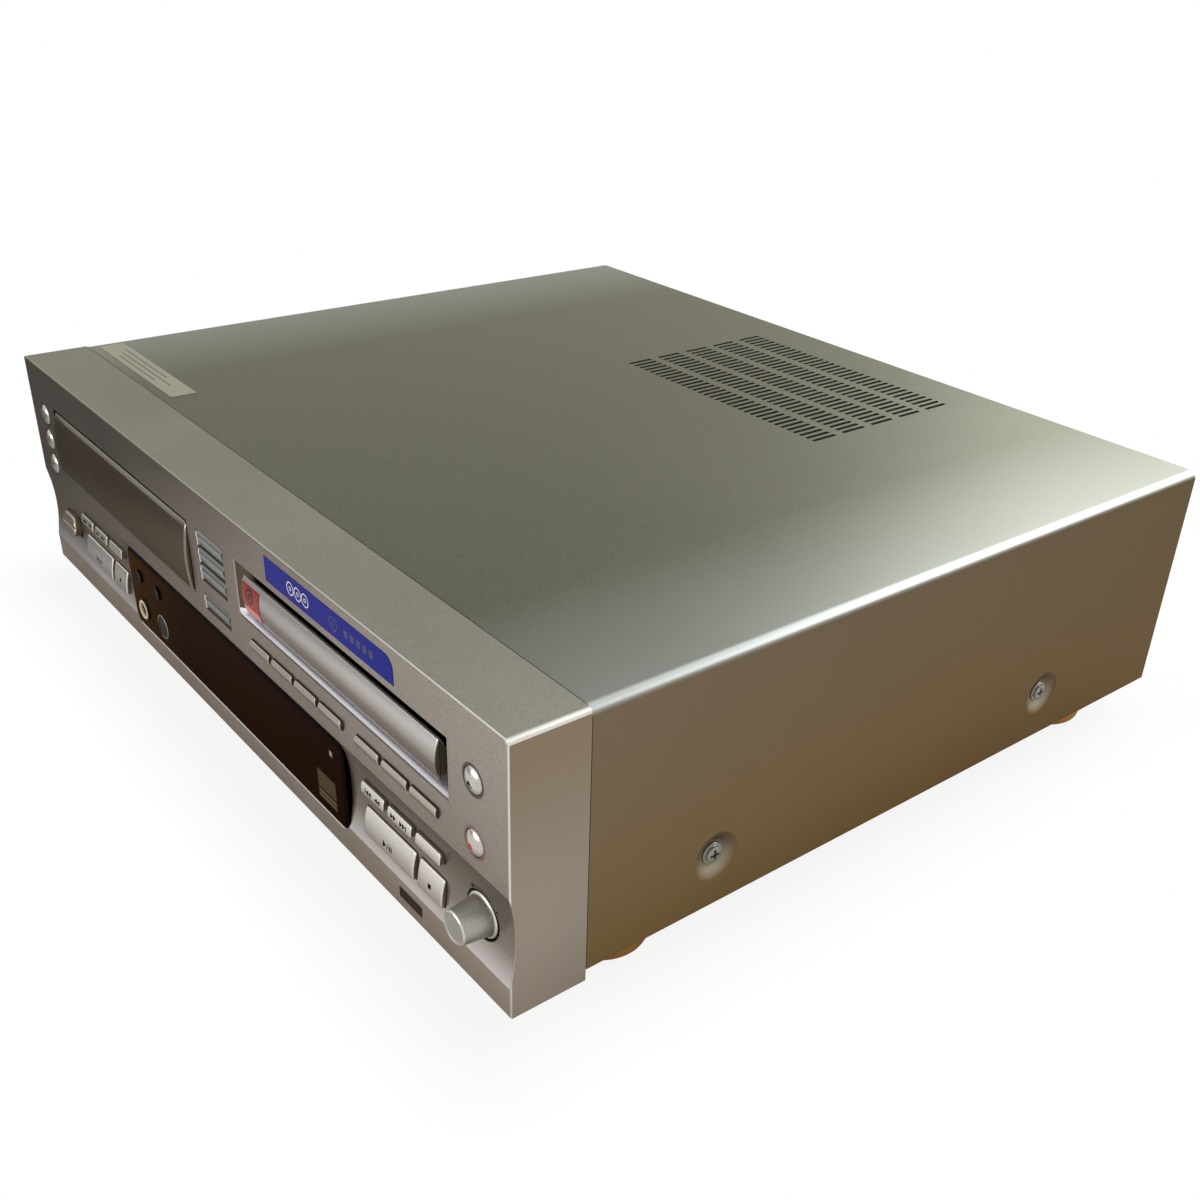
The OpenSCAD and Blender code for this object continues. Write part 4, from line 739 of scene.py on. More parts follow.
# %% Outlines and pads
def outline(w, h, r, corner_points=5, side_points=9):
    """Rounded rectangles, one per entry of w, h and r: four quarter circles joined by straight runs."""
    w, h, r = (np.atleast_1d(np.asarray(size, float))[:, None] for size in (w, h, r))
    quarter = np.linspace(0, np.pi / 2, corner_points)
    corners = []
    for step, (right, up) in enumerate(((1, 1), (-1, 1), (-1, -1), (1, -1))):
        turn = quarter + step * np.pi / 2
        across = right * (w / 2 - r) + r * np.cos(turn)
        upward = up * (h / 2 - r) + r * np.sin(turn)
        corners.append(np.stack([across, upward], -1))
    share = np.linspace(0, 1, side_points + 2)[1:-1, None]
    loop = []
    for corner, following in zip(corners, corners[1:] + corners[:1]):
        start = corner[:, -1:]
        loop += [corner, start + (following[:, :1] - start) * share]
    return np.concatenate(loop, 1)


def flat_face(u, v):
    """A face with no swelling."""
    return np.zeros_like(u)


def swelling(h, rise, crest=0.0):
    """A face that is an arc from top to bottom: it drops by rise at h / 2 from the crest."""
    radius = (h * h / 4 + rise * rise) / (2 * rise)
    return lambda u, v: np.sqrt(radius**2 - (v - crest) ** 2) - radius


def pad(w, h, depth, corner, edge, face=flat_face, steps=None):
    """A pad with its face at w = 0: skirt, quarter-circle edge, then insets up to the middle line."""
    turn = np.linspace(0, np.pi / 2, 6)
    reach = min(w, h) / 2
    inner = np.linspace(edge, reach, 9)[1:] if steps is None else np.array([*steps, reach])
    inset = np.concatenate([[0.0], edge * (1 - np.cos(turn)), inner])
    sink = np.concatenate([[0.0], edge * (1 - np.sin(turn)), np.zeros(len(inner))])
    u, v = np.moveaxis(outline(w - 2 * inset, h - 2 * inset, np.maximum(corner - inset, 0)), -1, 0)
    out = face(u, v) - sink[:, None]
    out[0] = -depth
    return np.stack([u, v, out], -1)


print("helpers: outline, flat_face, swelling, pad")

# %% [markdown]
# Round every key runs a narrow gap that reads as a dark line. A thin dark sheet in each key hole paints
# the shadow in that gap: four outlines in a loop, laid flush with the panel. The panel is not flat: a
# wide scoop, an arc from top to bottom, runs along its lower half, and the painted shadows follow it.


# %% Painted gap shadows in the key holes
SCOOP_Z = TOP - 77.0
SCOOP_HALF = 18.5
SCOOP_DEPTH = 2.2
SHADOW_IN = 0.06
SHADOW_OUT = 0.42
SHADOW_PROUD = 0.03
SHADOW_DEEP = 2.0
scoop_arc = swelling(2 * SCOOP_HALF, SCOOP_DEPTH)


def panel_depth(z):
    """How far the panel lies behind its flat front at a height: an arc in the scoop, 0 elsewhere."""
    away = np.clip(np.abs(z - SCOOP_Z), 0, SCOOP_HALF)
    return SCOOP_DEPTH + scoop_arc(away, away)


def gap_shadow(w, h, corner):
    """Painted gap shadow: outlines in a loop, down in the gap, up to the face, out over the panel, back."""
    spread = np.array([SHADOW_IN, SHADOW_IN, SHADOW_OUT, SHADOW_OUT, SHADOW_IN])
    rise = np.array([-SHADOW_DEEP, SHADOW_PROUD, SHADOW_PROUD, -0.05, -SHADOW_DEEP])
    loop = outline(w + 2 * spread, h + 2 * spread, corner + spread)
    return np.concatenate([loop, np.broadcast_to(rise[:, None, None], (*loop.shape[:2], 1))], -1)


print("helpers: panel_depth, liner")

# %% Silver keys
LIP = 1.1
LIP_T = 1.1
KEY_EDGE = 0.32
KEY_CORNER = 0.7


def key_cap(name, face_of, material, slot, lip=(0.0, LIP), edge=KEY_EDGE, corner=KEY_CORNER, side=key_side_shade,
            gap=gap_shade):
    """A cap over a key's node, with the hidden lip behind the panel. Returns its crest and its face."""
    low, high = box(name)
    crest = front_middle(low, high)
    w, h = high[0] - low[0] - 2 * lip[0], high[2] - low[2] - 2 * lip[1]
    face = face_of(h)
    cap = pad(w, h, high[1] - low[1], corner, edge, face)
    rim = pad(high[0] - low[0], high[2] - low[2], LIP_T, corner, 0.2)
    rim_middle = [crest[0], high[1] - LIP_T, crest[2]]
    parts = [(placed(cap, crest), material, side), (placed(rim, rim_middle), side)]
    piece(name + "_cap", parts, name, [name])
    # A painted shadow in the gap round the key, laid along the scoop.
    hole = placed(gap_shadow(w, h, corner), on_panel(crest))
    hole[..., 1] += panel_depth(hole[..., 2])
    trim(name + "_gap_shadow", [(hole, gap)])
    return crest, face


DECK_HALVES = ("changer", "recorder")


def key_names(*kinds):
    """Names of the keys of these kinds on both halves of the deck."""
    return [f"{half}_{kind}_key" for half in DECK_HALVES for kind in kinds]


SMALL_RISE = 0.5
SKIP_RISE, SKIP_CREST = 0.2, -1.7
PLAY_RISE, PLAY_CREST, PLAY_EDGE = 0.5, -5.0, 0.5
small_keys = [f"program_key_{i}" for i in (1, 2, 3, 4)] + [f"mode_key_{i}" for i in (1, 2, 3)]
KEY_KINDS = (
    (small_keys, (SMALL_RISE, 0.0), {"material": small_paint, "side": small_side_shade}),
    (key_names("skip_back", "skip_forward", "display"), (SKIP_RISE, SKIP_CREST), {"material": key_paint}),
    (key_names("play", "stop"), (PLAY_RISE, PLAY_CREST), {"material": key_paint, "edge": PLAY_EDGE}),
)
key_fronts = {}
for names, (rise, crest), look in KEY_KINDS:
    face_of = partial(swelling, rise=rise, crest=crest)
    for name in names:
        key_fronts[name] = key_cap(name, face_of, slot="key_silver", **look)

# %% [markdown]
# The four disc keys are clear grey mouldings whose faces roof up to a ridge, and the power button is a
# thick cap with a crease across its face. Both are the same pad with another face function.

# %% Disc keys and power button
GLINT_W = 1.0
GLINT_IN = 0.35
GLINT_SHORT = 1.2
DISC_EDGE, DISC_CORNER = 0.35, 0.6
POWER_EDGE, POWER_CORNER = 0.7, 4.4
# A pale bar at the left end of each disc key: a painted highlight.
key_glint = finish("key_glint", rgb(226, 228, 226), 0.3, grain=0.5, relief=0.003)
RIDGE_DROP = 1.3
RIDGE_SOFT = 0.5
CREASE_DEPTH = 0.5
CREASE_W = 0.7
POWER_RISE, POWER_CREST = 0.5, -4.6


def ridged(h):
    """A roof: the face drops evenly from a softened ridge, a sixth of its height above the middle."""
    ridge = h / 6
    top_run = h / 2 - ridge
    low_run = h / 2 + ridge

    def face(u, v):
        run = np.where(v > ridge, top_run, low_run)
        away = np.sqrt((v - ridge) ** 2 + RIDGE_SOFT**2) - RIDGE_SOFT
        return -RIDGE_DROP * np.clip(away / run, 0, 1)
    return face


def creased(h):
    """An arc from top to bottom with a narrow groove, the shape of a bell curve, across its middle."""
    arc = swelling(h, POWER_RISE, POWER_CREST)
    return lambda u, v: arc(u, v) - CREASE_DEPTH * np.exp(-((v / CREASE_W) ** 2))


for i in (1, 2, 3, 4):
    name = f"disc_key_{i}"
    crest, face = key_cap(name, ridged, key_smoke, "disc_key_grey", lip=(LIP, 0.0), edge=DISC_EDGE,
                          corner=DISC_CORNER, gap=grey_shade_and_notch)
    low, high = box(name)
    half_w = (high[0] - low[0]) / 2 - LIP
    glint = pad(GLINT_W, high[2] - low[2] - GLINT_SHORT, 0.3, 0.3, 0.05, face)
    glint_middle = crest + [GLINT_W / 2 + GLINT_IN - half_w, -0.03, 0.0]
    piece(name + "_glint", [(placed(glint, glint_middle), key_glint)], name)
key_cap("power_button", creased, small_paint, "key_silver", edge=POWER_EDGE, corner=POWER_CORNER,
        side=power_side_shade)

# %% [markdown]
# ## Turned pieces
# Round buttons, knobs, feet and sockets are turned: a profile of (radius, w) points is carried round the
# axis. A turned edge is never quite sharp, so each corner of the profile is first replaced by a short
# curve. Fluted sides come from letting the radius wave with the angle.


# %% Turning
def soft(profile, cut=0.3, steps=4):
    """Rounds a profile: each inner corner becomes a curve that starts and ends cut millimetres away."""
    points = np.array(profile, float)
    share = np.linspace(0, 1, steps + 1)[:, None]
    rounded = [points[:1]]
    for before, corner, after in zip(points[:-2], points[1:-1], points[2:]):
        start = corner + (before - corner) * min(0.45, cut / max(np.linalg.norm(before - corner), 1e-6))
        end = corner + (after - corner) * min(0.45, cut / max(np.linalg.norm(after - corner), 1e-6))
        rounded.append((1 - share) ** 2 * start + 2 * share * (1 - share) * corner + share**2 * end)
    return np.concatenate(rounded + [points[-1:]])


def turned(profile, around=64, flutes=0, depth=0.0, fluted=(0.0, 0.0)):
    """A profile carried round w. Between the two fluted heights its radius waves flutes times a turn."""
    r, out = np.asarray(profile, float).T
    turn = np.linspace(0, 2 * np.pi, around, endpoint=False)
    wave = ((out > fluted[0]) & (out < fluted[1]))[:, None] * depth * (np.cos(flutes * turn) - 1) / 2
    reach = r[:, None] + wave
    height = np.broadcast_to(out[:, None], reach.shape)
    return np.stack([reach * np.cos(turn), reach * np.sin(turn), height], -1)


def hoop(profile, cut):
    """A rounded profile that closes on its first point, for rings and collars."""
    return soft([*profile, profile[0]], cut)


def lathe(middle, *coats, around=64):
    """Several profiles turned about one axis, each with its own finish."""
    return [(placed(turned(profile, around), middle), material) for profile, material in coats]


def axis_of(name):
    """Middle of a front piece at its foremost face, its largest radius, and its depth."""
    low, high = box(name)
    return front_middle(low, high), (high[0] - low[0]) / 2, high[1] - low[1]


print("helpers: soft, turned, hoop, lathe, axis_of")


# %% Round buttons
ROUND_BUTTONS = ["changer_open_button_1", "changer_open_button_2", "changer_open_button_3",
                 "recorder_open_button", "record_button"]
RING_GAP = 0.15
RING_REACH = 1.1
# A dark ring round each round button paints the shadow in its gap; the record button's ring is red.
ring_gap_shade = finish("ring_gap_shade", rgb(46, 42, 38), 0.4, grain=0.4, relief=0.004)
ring_red = finish("ring_red", rgb(98, 16, 12), 0.22, grain=0.5, relief=0.004, Coat_Weight=0.5)


def round_dome(reach, rise):
    """Dome of a round button: an arc that drops by rise at the rim."""
    radius = (reach**2 + rise**2) / (2 * rise)
    return lambda u, v: np.sqrt(radius**2 - u**2 - v**2) - radius


for name in ROUND_BUTTONS:
    middle, lip_r, depth = axis_of(name)
    reach = lip_r - LIP
    rise = FRONT - middle[1]
    dome = round_dome(reach, rise)
    out_r = np.linspace(reach - 0.35, 0, 12)
    rim = soft([(0, -depth), (lip_r, -depth), (lip_r, LIP_T - depth), (reach, LIP_T - depth),
                (reach, -rise - 0.1), (out_r[0], dome(out_r[0], 0.0))], 0.25)
    cap = np.concatenate([rim, np.stack([out_r, dome(out_r, 0.0)], -1)[1:]])
    piece(name + "_cap", lathe(middle, (cap, dome_paint)), name, [name])
    key_fronts[name] = (middle, dome)
    inner, outer = reach + RING_GAP, reach + RING_REACH
    loop = hoop([(inner, -0.3), (inner, 0.1), (outer, 0.06), (outer + 0.1, -0.3)], 0.08)
    ring_material = ring_red if name == "record_button" else ring_gap_shade
    trim(name + "_ring", lathe(on_panel(middle), (loop, ring_material)))

# %% [markdown]
# The jog knob is a tapered aluminium grip on a bright flange that lies in a round seat. The level knob
# and the two small knobs are black with fine flutes, and the headphone socket is a cream collar with a
# dark bore.

# %% Jog knob and small knobs
JOG_GRIP_R = 6.26
JOG_BASE_R = 7.3
JOG_SEAT = 2.4
middle, flange_r, depth = axis_of("jog_knob")
SEAT_W = middle[1] - FRONT - JOG_SEAT
jog_profile = soft([(0, -depth), (2.5, -depth), (2.5, SEAT_W - 1.1), (flange_r, SEAT_W - 1.1),
                    (flange_r, SEAT_W - 0.7), (JOG_BASE_R + 0.05, SEAT_W - 0.6),
                    (JOG_BASE_R, SEAT_W + 0.9), (JOG_GRIP_R, -0.6), (JOG_GRIP_R - 0.55, 0.0),
                    (JOG_GRIP_R - 1.0, -0.12), (JOG_GRIP_R - 1.4, -0.3), (0, -0.22)], 0.22)
bevel_r = flange_r - 0.35
flange_profile = hoop([(bevel_r, SEAT_W - 0.8), (bevel_r, SEAT_W + 0.5), (bevel_r - 0.35, SEAT_W + 0.85),
                       (JOG_BASE_R + 0.1, SEAT_W + 1.05), (JOG_BASE_R - 0.1, SEAT_W - 0.8)], 0.2)
rim_profile = hoop([(JOG_GRIP_R - 0.15, -0.55), (JOG_GRIP_R + 0.03, -0.5), (JOG_GRIP_R - 0.5, 0.0),
                    (JOG_GRIP_R - 0.8, -0.05), (JOG_GRIP_R - 0.7, -0.3)], 0.1)
jog_parts = lathe(middle, (jog_profile, jog_metal), (flange_profile, bright_metal),
                  (rim_profile, bright_metal), around=96)
piece("jog_knob_turned", jog_parts, "jog_knob", ["jog_knob"])
# A dark ring in the seat round the flange: painted shade in that gap.
seat_loop = np.array([(flange_r + 0.08, -1.4), (flange_r + 0.08, -0.1), (flange_r + 0.2, SHADOW_PROUD),
                      (flange_r + 0.6, SHADOW_PROUD), (flange_r + 0.6, -0.05), (flange_r + 0.08, -1.4)])
seat = placed(turned(seat_loop, 96), on_panel(middle))
seat[..., 1] += panel_depth(seat[..., 2])
trim("jog_seat_ring", [(seat, gap_shade)])

KNOB_FLUTES = 30
KNOB_SHAFT_R = 2.5
for name in ("level_knob", "small_knob_1", "small_knob_2"):
    middle, reach, depth = axis_of(name)
    out = FRONT - middle[1]
    foot = -out - 4.0
    profile = soft([(0, -depth), (KNOB_SHAFT_R, -depth), (KNOB_SHAFT_R, foot), (reach, foot), (reach, -0.3),
                    (reach - 0.3, 0.0), (reach - 0.7, -0.02), (reach - 0.9, -0.16), (0, -0.14)], 0.12)
    knob = turned(profile, 180, KNOB_FLUTES, 0.3, (foot + 0.1, -0.32))
    notch = pad(0.5, reach - 1.1, 0.5, 0.2, 0.08)
    notch_middle = middle + [0, 0.1, (reach - 0.8) / 2]
    knob_finish = knob_grey if name == "level_knob" else knob_black
    parts = [(placed(knob, middle), knob_finish), (placed(notch, notch_middle), grey_shade_and_notch)]
    piece(name + "_turned", parts, name, [name])

# %% Headphone socket and level ring
middle, _, depth = axis_of("phones_jack")
low, high = box("phones_jack")
JACK_RING_R = 5.7
JACK_BORE_R = 3.2
JACK_BARREL_R = 4.7
JACK_BODY_BACK = 7.4
back = 1 - depth
collar = hoop([(JACK_BORE_R, back), (JACK_BORE_R, -0.6), (JACK_BORE_R + 0.4, 0), (JACK_BARREL_R - 0.3, 0),
               (JACK_BARREL_R, -0.4), (JACK_BARREL_R, back)], 0.25)
base = hoop([(JACK_BARREL_R - 0.1, -1.18), (JACK_BARREL_R - 0.1, -0.45), (JACK_BARREL_R + 0.3, -0.4),
             (JACK_RING_R, -0.9), (JACK_RING_R, -1.18)], 0.15)
bore_end = soft([(0, -depth + 0.5), (JACK_BARREL_R, -depth + 0.5), (JACK_BARREL_R, -depth + 1.2),
                 (JACK_BORE_R, -depth + 1.2), (1.2, -depth + 1.6), (0, -depth + 1.4)], 0.2)
lining = hoop([(JACK_BORE_R - 0.02, -6.0), (JACK_BORE_R - 0.02, -1.2), (JACK_BORE_R - 0.35, -1.2),
               (JACK_BORE_R - 0.35, -6.0)], 0.1)
body = pad(high[0] - low[0], high[2] - low[2], depth - JACK_BODY_BACK, 1.2, 0.5)
jack_parts = lathe(middle, (collar, cream_plastic), (base, knob_black), (bore_end, socket_black),
                   (lining, socket_black))
jack_parts.append((placed(body, middle + [0, JACK_BODY_BACK, 0]), socket_black))
piece("phones_jack_turned", jack_parts, "chassis", ["phones_jack"])

LEVEL_RING_R = 5.5
loop = hoop([(LEVEL_RING_R - 0.3, -0.2), (LEVEL_RING_R - 0.3, 0.3), (LEVEL_RING_R + 0.1, 0.25),
             (LEVEL_RING_R + 0.2, -0.2)], 0.1)
dark_loop = hoop([(LEVEL_RING_R + 0.15, -0.2), (LEVEL_RING_R + 0.15, 0.12), (LEVEL_RING_R + 0.8, 0.05),
                  (LEVEL_RING_R + 0.85, -0.2)], 0.06)
level_middle = axis_of("level_knob")[0]
trim("level_knob_ring", lathe(on_panel(level_middle), (loop, jog_metal), (dark_loop, knob_black)))

# %% [markdown]
# ## Door and tray front
# The changer door is a wide bar whose face swells, with a bevel along its top edge that catches the
# light. The recorder's tray front is slimmer: its section is a lens, two arcs set back to back, carried
# along its length and drawn in at both ends to a fine bright rim.

# %% Changer door
DOOR_CREST_LIFT = 12.8
DOOR_BEVEL = 2.6
DOOR_BEVEL_DROP = 0.75
DOOR_EDGE = 0.9
DOOR_CORNER = 0.9
DOOR_RISE = 2.1
SILL_H = 0.34
low, high = box("changer_door")
door_w, door_h, door_depth = high[0] - low[0], high[2] - low[2], high[1] - low[1]
door_crest = DOOR_CREST_LIFT - door_h / 2
door_arc = swelling(2 * (door_h - DOOR_CREST_LIFT), DOOR_RISE, door_crest)


def door_face(u, v):
    """The arc of the door, less a straight bevel along its top edge."""
    into_bevel = np.clip((v - (door_h / 2 - DOOR_BEVEL)) / DOOR_BEVEL, 0, 1)
    return door_arc(u, v) - DOOR_BEVEL_DROP * into_bevel


door_steps = [1.4, 2.0, DOOR_BEVEL - 0.12, DOOR_BEVEL + 0.12, *np.linspace(3.6, door_h / 2 - 0.8, 12)]
door = pad(door_w, door_h, door_depth, DOOR_CORNER, DOOR_EDGE, door_face, door_steps)
door_middle = front_middle(low, high)
piece("changer_door_face", [(placed(door, door_middle), door_paint)], "changer_drawer",
      ["changer_door"])
# A painted shadow in the gap round the door, and a bright strip below it: a painted highlight on the lower
# edge of the hole.
door_hole = placed(gap_shadow(door_w, door_h, DOOR_CORNER), on_panel(door_middle))
sill = pad(door_w, SILL_H, 0.1, 0.1, 0.05)
sill_middle = [door_middle[0], FRONT - 0.05, low[2] - SHADOW_OUT - SILL_H / 2]
trim("changer_door_gap_shadow", [(door_hole, gap_shade), (placed(sill, sill_middle), bright_metal)])


# %% Recorder tray front
TRAY_FRONT_RISE = 1.6
TRAY_BACK_RISE = 2.6
TRAY_RIM = 0.5


def lens_bar(length, h, thick, rim):
    """A lens section carried along u: rings of two arcs, drawn in by a quarter circle at both ends."""
    v = np.linspace(-h / 2, h / 2, 33)
    front = swelling(h, TRAY_FRONT_RISE)(v, v)
    back = -thick - swelling(h, TRAY_BACK_RISE)(v, v)
    section_v = np.concatenate([v, v[::-1]])
    section_w = np.concatenate([front, back[::-1]])
    turn = np.linspace(0, np.pi / 2, 6)
    along_u = np.concatenate([[0.0], rim * (1 - np.cos(turn)), [length / 4]])
    drawn_in = np.concatenate([[rim * 1.5], rim * (1 - np.sin(turn)), [0.0]])
    u = np.concatenate([along_u - length / 2, (length / 2 - along_u)[::-1]])[:, None]
    drawn = np.concatenate([drawn_in, drawn_in[::-1]])[:, None]
    ring_v = section_v * (1 - drawn / (h / 2))
    ring_w = -thick / 2 + (section_w + thick / 2) * (1 - drawn / thick)
    return np.stack([np.broadcast_to(u, ring_v.shape), ring_v, ring_w], -1)


low, high = box("recorder_tray_front")
tray_w, tray_t, tray_h = high - low
tray_middle = front_middle(low, high)
# The tray front is painted pale at the top and brown below: painted light and painted reflection.
tray_shading_paint = finish("tray_shading_paint", along(2, 86.5, 95.5, rgb(116, 104, 92), rgb(214, 210, 206)), 0.26, 0.75,
                    relief=0.003)
bar_parts = [(placed(lens_bar(tray_w, tray_h, tray_t, TRAY_RIM), tray_middle), tray_shading_paint)]
# Dark pieces on the ends of the bar: painted shade on its end faces.
END_L = 0.8
END_IN = 0.55
END_PROUD = 0.02
end = lens_bar(END_L, tray_h - 2 * END_IN, tray_t - 2 * END_IN, 0.01)
for side in (-1, 1):
    shift = np.array([side * (tray_w / 2 - END_L / 2 + END_PROUD), 0.0, -END_IN])
    bar_parts.append((placed(end + shift, tray_middle), key_side_shade))
piece("recorder_tray_front_lens", bar_parts, "recorder_drawer", ["recorder_tray_front"])
# A pale sheet on the sloping sill of the recess: a painted highlight.
sill_highlight_paint = finish("sill_highlight_paint", rgb(238, 240, 248), 0.3, 0.8, grain=0.5, relief=0.004)
SILL_CORNERS = [(26.4, 0.12, 77.15), (175.2, 0.12, 77.15), (170.6, 4.8, 79.11), (31.0, 4.8, 79.11)]
SILL_OUT = np.array([0.0, -0.387, 0.922])
sill_edge = np.array(SILL_CORNERS) + [0.0, FRONT, 0.0]
sill_highlight_sheet = np.stack([sill_edge - 0.05 * SILL_OUT, sill_edge + 0.04 * SILL_OUT])
trim("recess_sill_highlight", [(sill_highlight_sheet, sill_highlight_paint)])
# A dark line along the foot of the recess: painted shade.
LINE_W, LINE_H = 150.0, 0.36
LINE_X, LINE_Z = 101.5, 76.45
rule = pad(LINE_W, LINE_H, 0.08, 0.1, 0.03)
trim("recess_line", [(placed(rule, [LINE_X, FRONT - 0.03, LINE_Z]), gap_shade)])

# %% [markdown]
# ## Feet and screws
# The feet are gilt, turned with a groove round the rim. A cover screw has a pan head on a fixed washer
# and a cross recess; its head is a height over the polar grid of radius and angle, with the cross
# pressed in wherever a point lies inside one of two bars.

# %% Feet
low, high = box("feet")
FOOT_R = 17.8
foot_top = high[2]
foot_low = low[2]
GROOVE = 0.6
foot_middle = (foot_low + foot_top) / 2
foot_profile = soft([(0, foot_low), (FOOT_R - 2.2, foot_low), (FOOT_R - 0.7, foot_low + 0.6),
                     (FOOT_R, foot_low + 2.0), (FOOT_R, foot_middle - GROOVE),
                     (FOOT_R - GROOVE, foot_middle - 0.2), (FOOT_R - GROOVE, foot_middle + 0.2),
                     (FOOT_R, foot_middle + GROOVE), (FOOT_R, foot_top - 0.8), (FOOT_R - 0.6, foot_top),
                     (0, foot_top)], 0.45)
foot = turned(foot_profile, 96)
foot_x = (low[0] + FOOT_R, high[0] - FOOT_R)
foot_y = (low[1] + FOOT_R, high[1] - FOOT_R)
feet = [(placed(foot, (x, y, 0.0), "top"), foot_gilt) for x in foot_x for y in foot_y]
piece("feet_turned", feet, "chassis", ["feet"])


# %% Screws
def cross_screw(head_r, head_t, shank_r, shank_l, cross_w=0.95, cross_l=1.9, cross_d=1.1):
    """Screw with w = 0 on top: shank, washer and pan head as a profile, then the recessed crown."""
    pan_r = head_r * 0.74
    under = -head_t
    tip = under - shank_l
    shell = soft([(0, tip), (shank_r, tip), (shank_r, under), (head_r, under), (head_r, under + 0.5),
                  (head_r - 0.25, under + 0.75), (pan_r + 0.3, under + 0.75), (pan_r, under + 0.85),
                  (pan_r, -0.55)], 0.15)
    r = np.concatenate([shell[:, 0], np.linspace(pan_r - 0.02, 0, 34)])
    crown = -0.5 * (r[len(shell):] / pan_r) ** 2.6
    out = np.concatenate([shell[:, 1], crown])
    turn = np.linspace(0, 2 * np.pi, 144, endpoint=False)
    x, y = r[:, None] * np.cos(turn), r[:, None] * np.sin(turn)

    def bar(across, length):
        inside = np.clip((cross_w / 2 - np.abs(across)) / 0.12 + 0.5, 0, 1)
        return inside * np.clip((cross_l - np.abs(length)) / 0.3 + 0.5, 0, 1)

    pressed = np.maximum(bar(x, y), bar(y, x)) * cross_d
    pressed[:len(shell)] = 0
    return np.stack([x, y, out[:, None] - pressed], -1)


SCREW_HEAD_R = 4.5
SCREW_HEAD_T = 2.0
SCREW_R = 1.5
SCREW_L = 5.2
screw = cross_screw(SCREW_HEAD_R, SCREW_HEAD_T, SCREW_R, SCREW_L)
sides = {"left": SEAT_LOW[0], "right": SEAT_HIGH[0]}
side_screws = [(placed(screw, (x, y, SEAT_Z), side), screw_steel) for side, x in sides.items()
               for y in (SEAT_LOW[1] + SCREW_HEAD_R, SEAT_HIGH[1] - SCREW_HEAD_R)]
piece("cover_screws_pressed", side_screws, "chassis", ["cover_screws"])
low, high = box("rear_screws")
rear_places = np.linspace(low[0] + SCREW_HEAD_R, high[0] - SCREW_HEAD_R, 3)
rear_set = [(placed(screw, (x, high[1], (low[2] + high[2]) / 2), "rear"), screw_steel) for x in rear_places]
piece("rear_screws_pressed", rear_set, "chassis", ["rear_screws"])

# %% [markdown]
# ## Printed signs
# The transport keys carry the usual signs: triangles, bars and a square. Each is a flat polygon, laid
# over the face of its key by the key's own face function and lifted a few hundredths of a millimetre,
# so that it follows the swelling and moves with the key.

# %% Signs on the keys
INK_LIFT = 0.04
INK_DEPTH = 0.12


def printed(name, colour, rough=0.4, grain=0.6, relief=0.003, sheen=0.12):
    """Ink or printed paper: one colour, with little sheen."""
    return finish(name, colour, rough, grain=grain, relief=relief, Specular_IOR_Level=sheen)


def sign(points, face=flat_face, lift=INK_LIFT, depth=INK_DEPTH):
    """A polygon (u, v) as rings that close in on its middle, lifted off a face; the first lies below it."""
    corners = np.array(points, float)
    share = np.linspace(0, 1, 4, endpoint=False)[:, None]
    edge = np.concatenate([a + (b - a) * share for a, b in zip(corners, np.roll(corners, -1, 0))])
    middle = corners.mean(0)
    drawn = np.array([1.0, 1.0, 0.75, 0.5, 0.25, 0.0])[:, None, None]
    u, v = np.moveaxis(middle + (edge - middle) * drawn, -1, 0)
    out = face(u, v) + lift
    out[0] -= lift + depth
    return np.stack([u, v, out], -1)


def signs(shapes, middle, material, face=flat_face):
    """Several polygons on one face, in one ink."""
    return [(placed(sign(shape, face), middle), material) for shape in shapes]


def bar_points(u, v, w, h):
    """Corners of an upright bar about (u, v)."""
    return [(u - w / 2, v - h / 2), (u + w / 2, v - h / 2), (u + w / 2, v + h / 2), (u - w / 2, v + h / 2)]


def arrow_points(u, v, w, h):
    """Corners of a triangle about (u, v) that points right, or left for a negative w."""
    return [(u - w / 2, v - h / 2), (u + w / 2, v), (u - w / 2, v + h / 2)]


def disc_points(u, v, r, count=16):
    """Points of a circle about (u, v)."""
    turn = np.linspace(0, 2 * np.pi, count, endpoint=False)
    return np.stack([u + r * np.cos(turn), v + r * np.sin(turn)], -1)


def skip_sign(way):
    """Bar and two arrows, then two arrows, pointing left (-1) or right (1)."""
    arrows = [arrow_points(way * u, -0.2, way * 1.8, 2.1) for u in (-4.6, -2.8, 1.5, 3.3)]
    return arrows + [bar_points(way * 4.6, -0.2, 0.5, 2.1)]


PLAY_DROP = -1.9
SIGNS = {
    "skip_back": skip_sign(-1),
    "skip_forward": skip_sign(1),
    "play": [arrow_points(-2.3, PLAY_DROP, 2.2, 2.8),
             [(-0.9, PLAY_DROP - 1.4), (-0.55, PLAY_DROP - 1.4),
              (0.5, PLAY_DROP + 1.4), (0.15, PLAY_DROP + 1.4)],
             bar_points(1.3, PLAY_DROP, 0.6, 2.2), bar_points(2.4, PLAY_DROP, 0.6, 2.2)],
    "stop": [bar_points(0.0, -1.0, 1.8, 1.8)],
}
ink = printed("sign_ink", rgb(14, 11, 9), 0.5, 0.3, sheen=0.02)
for half in DECK_HALVES:
    for kind, shapes in SIGNS.items():
        name = f"{half}_{kind}_key"
        crest, face = key_fronts[name]
        piece(f"{name}_sign", signs(shapes, crest, ink, face), name)

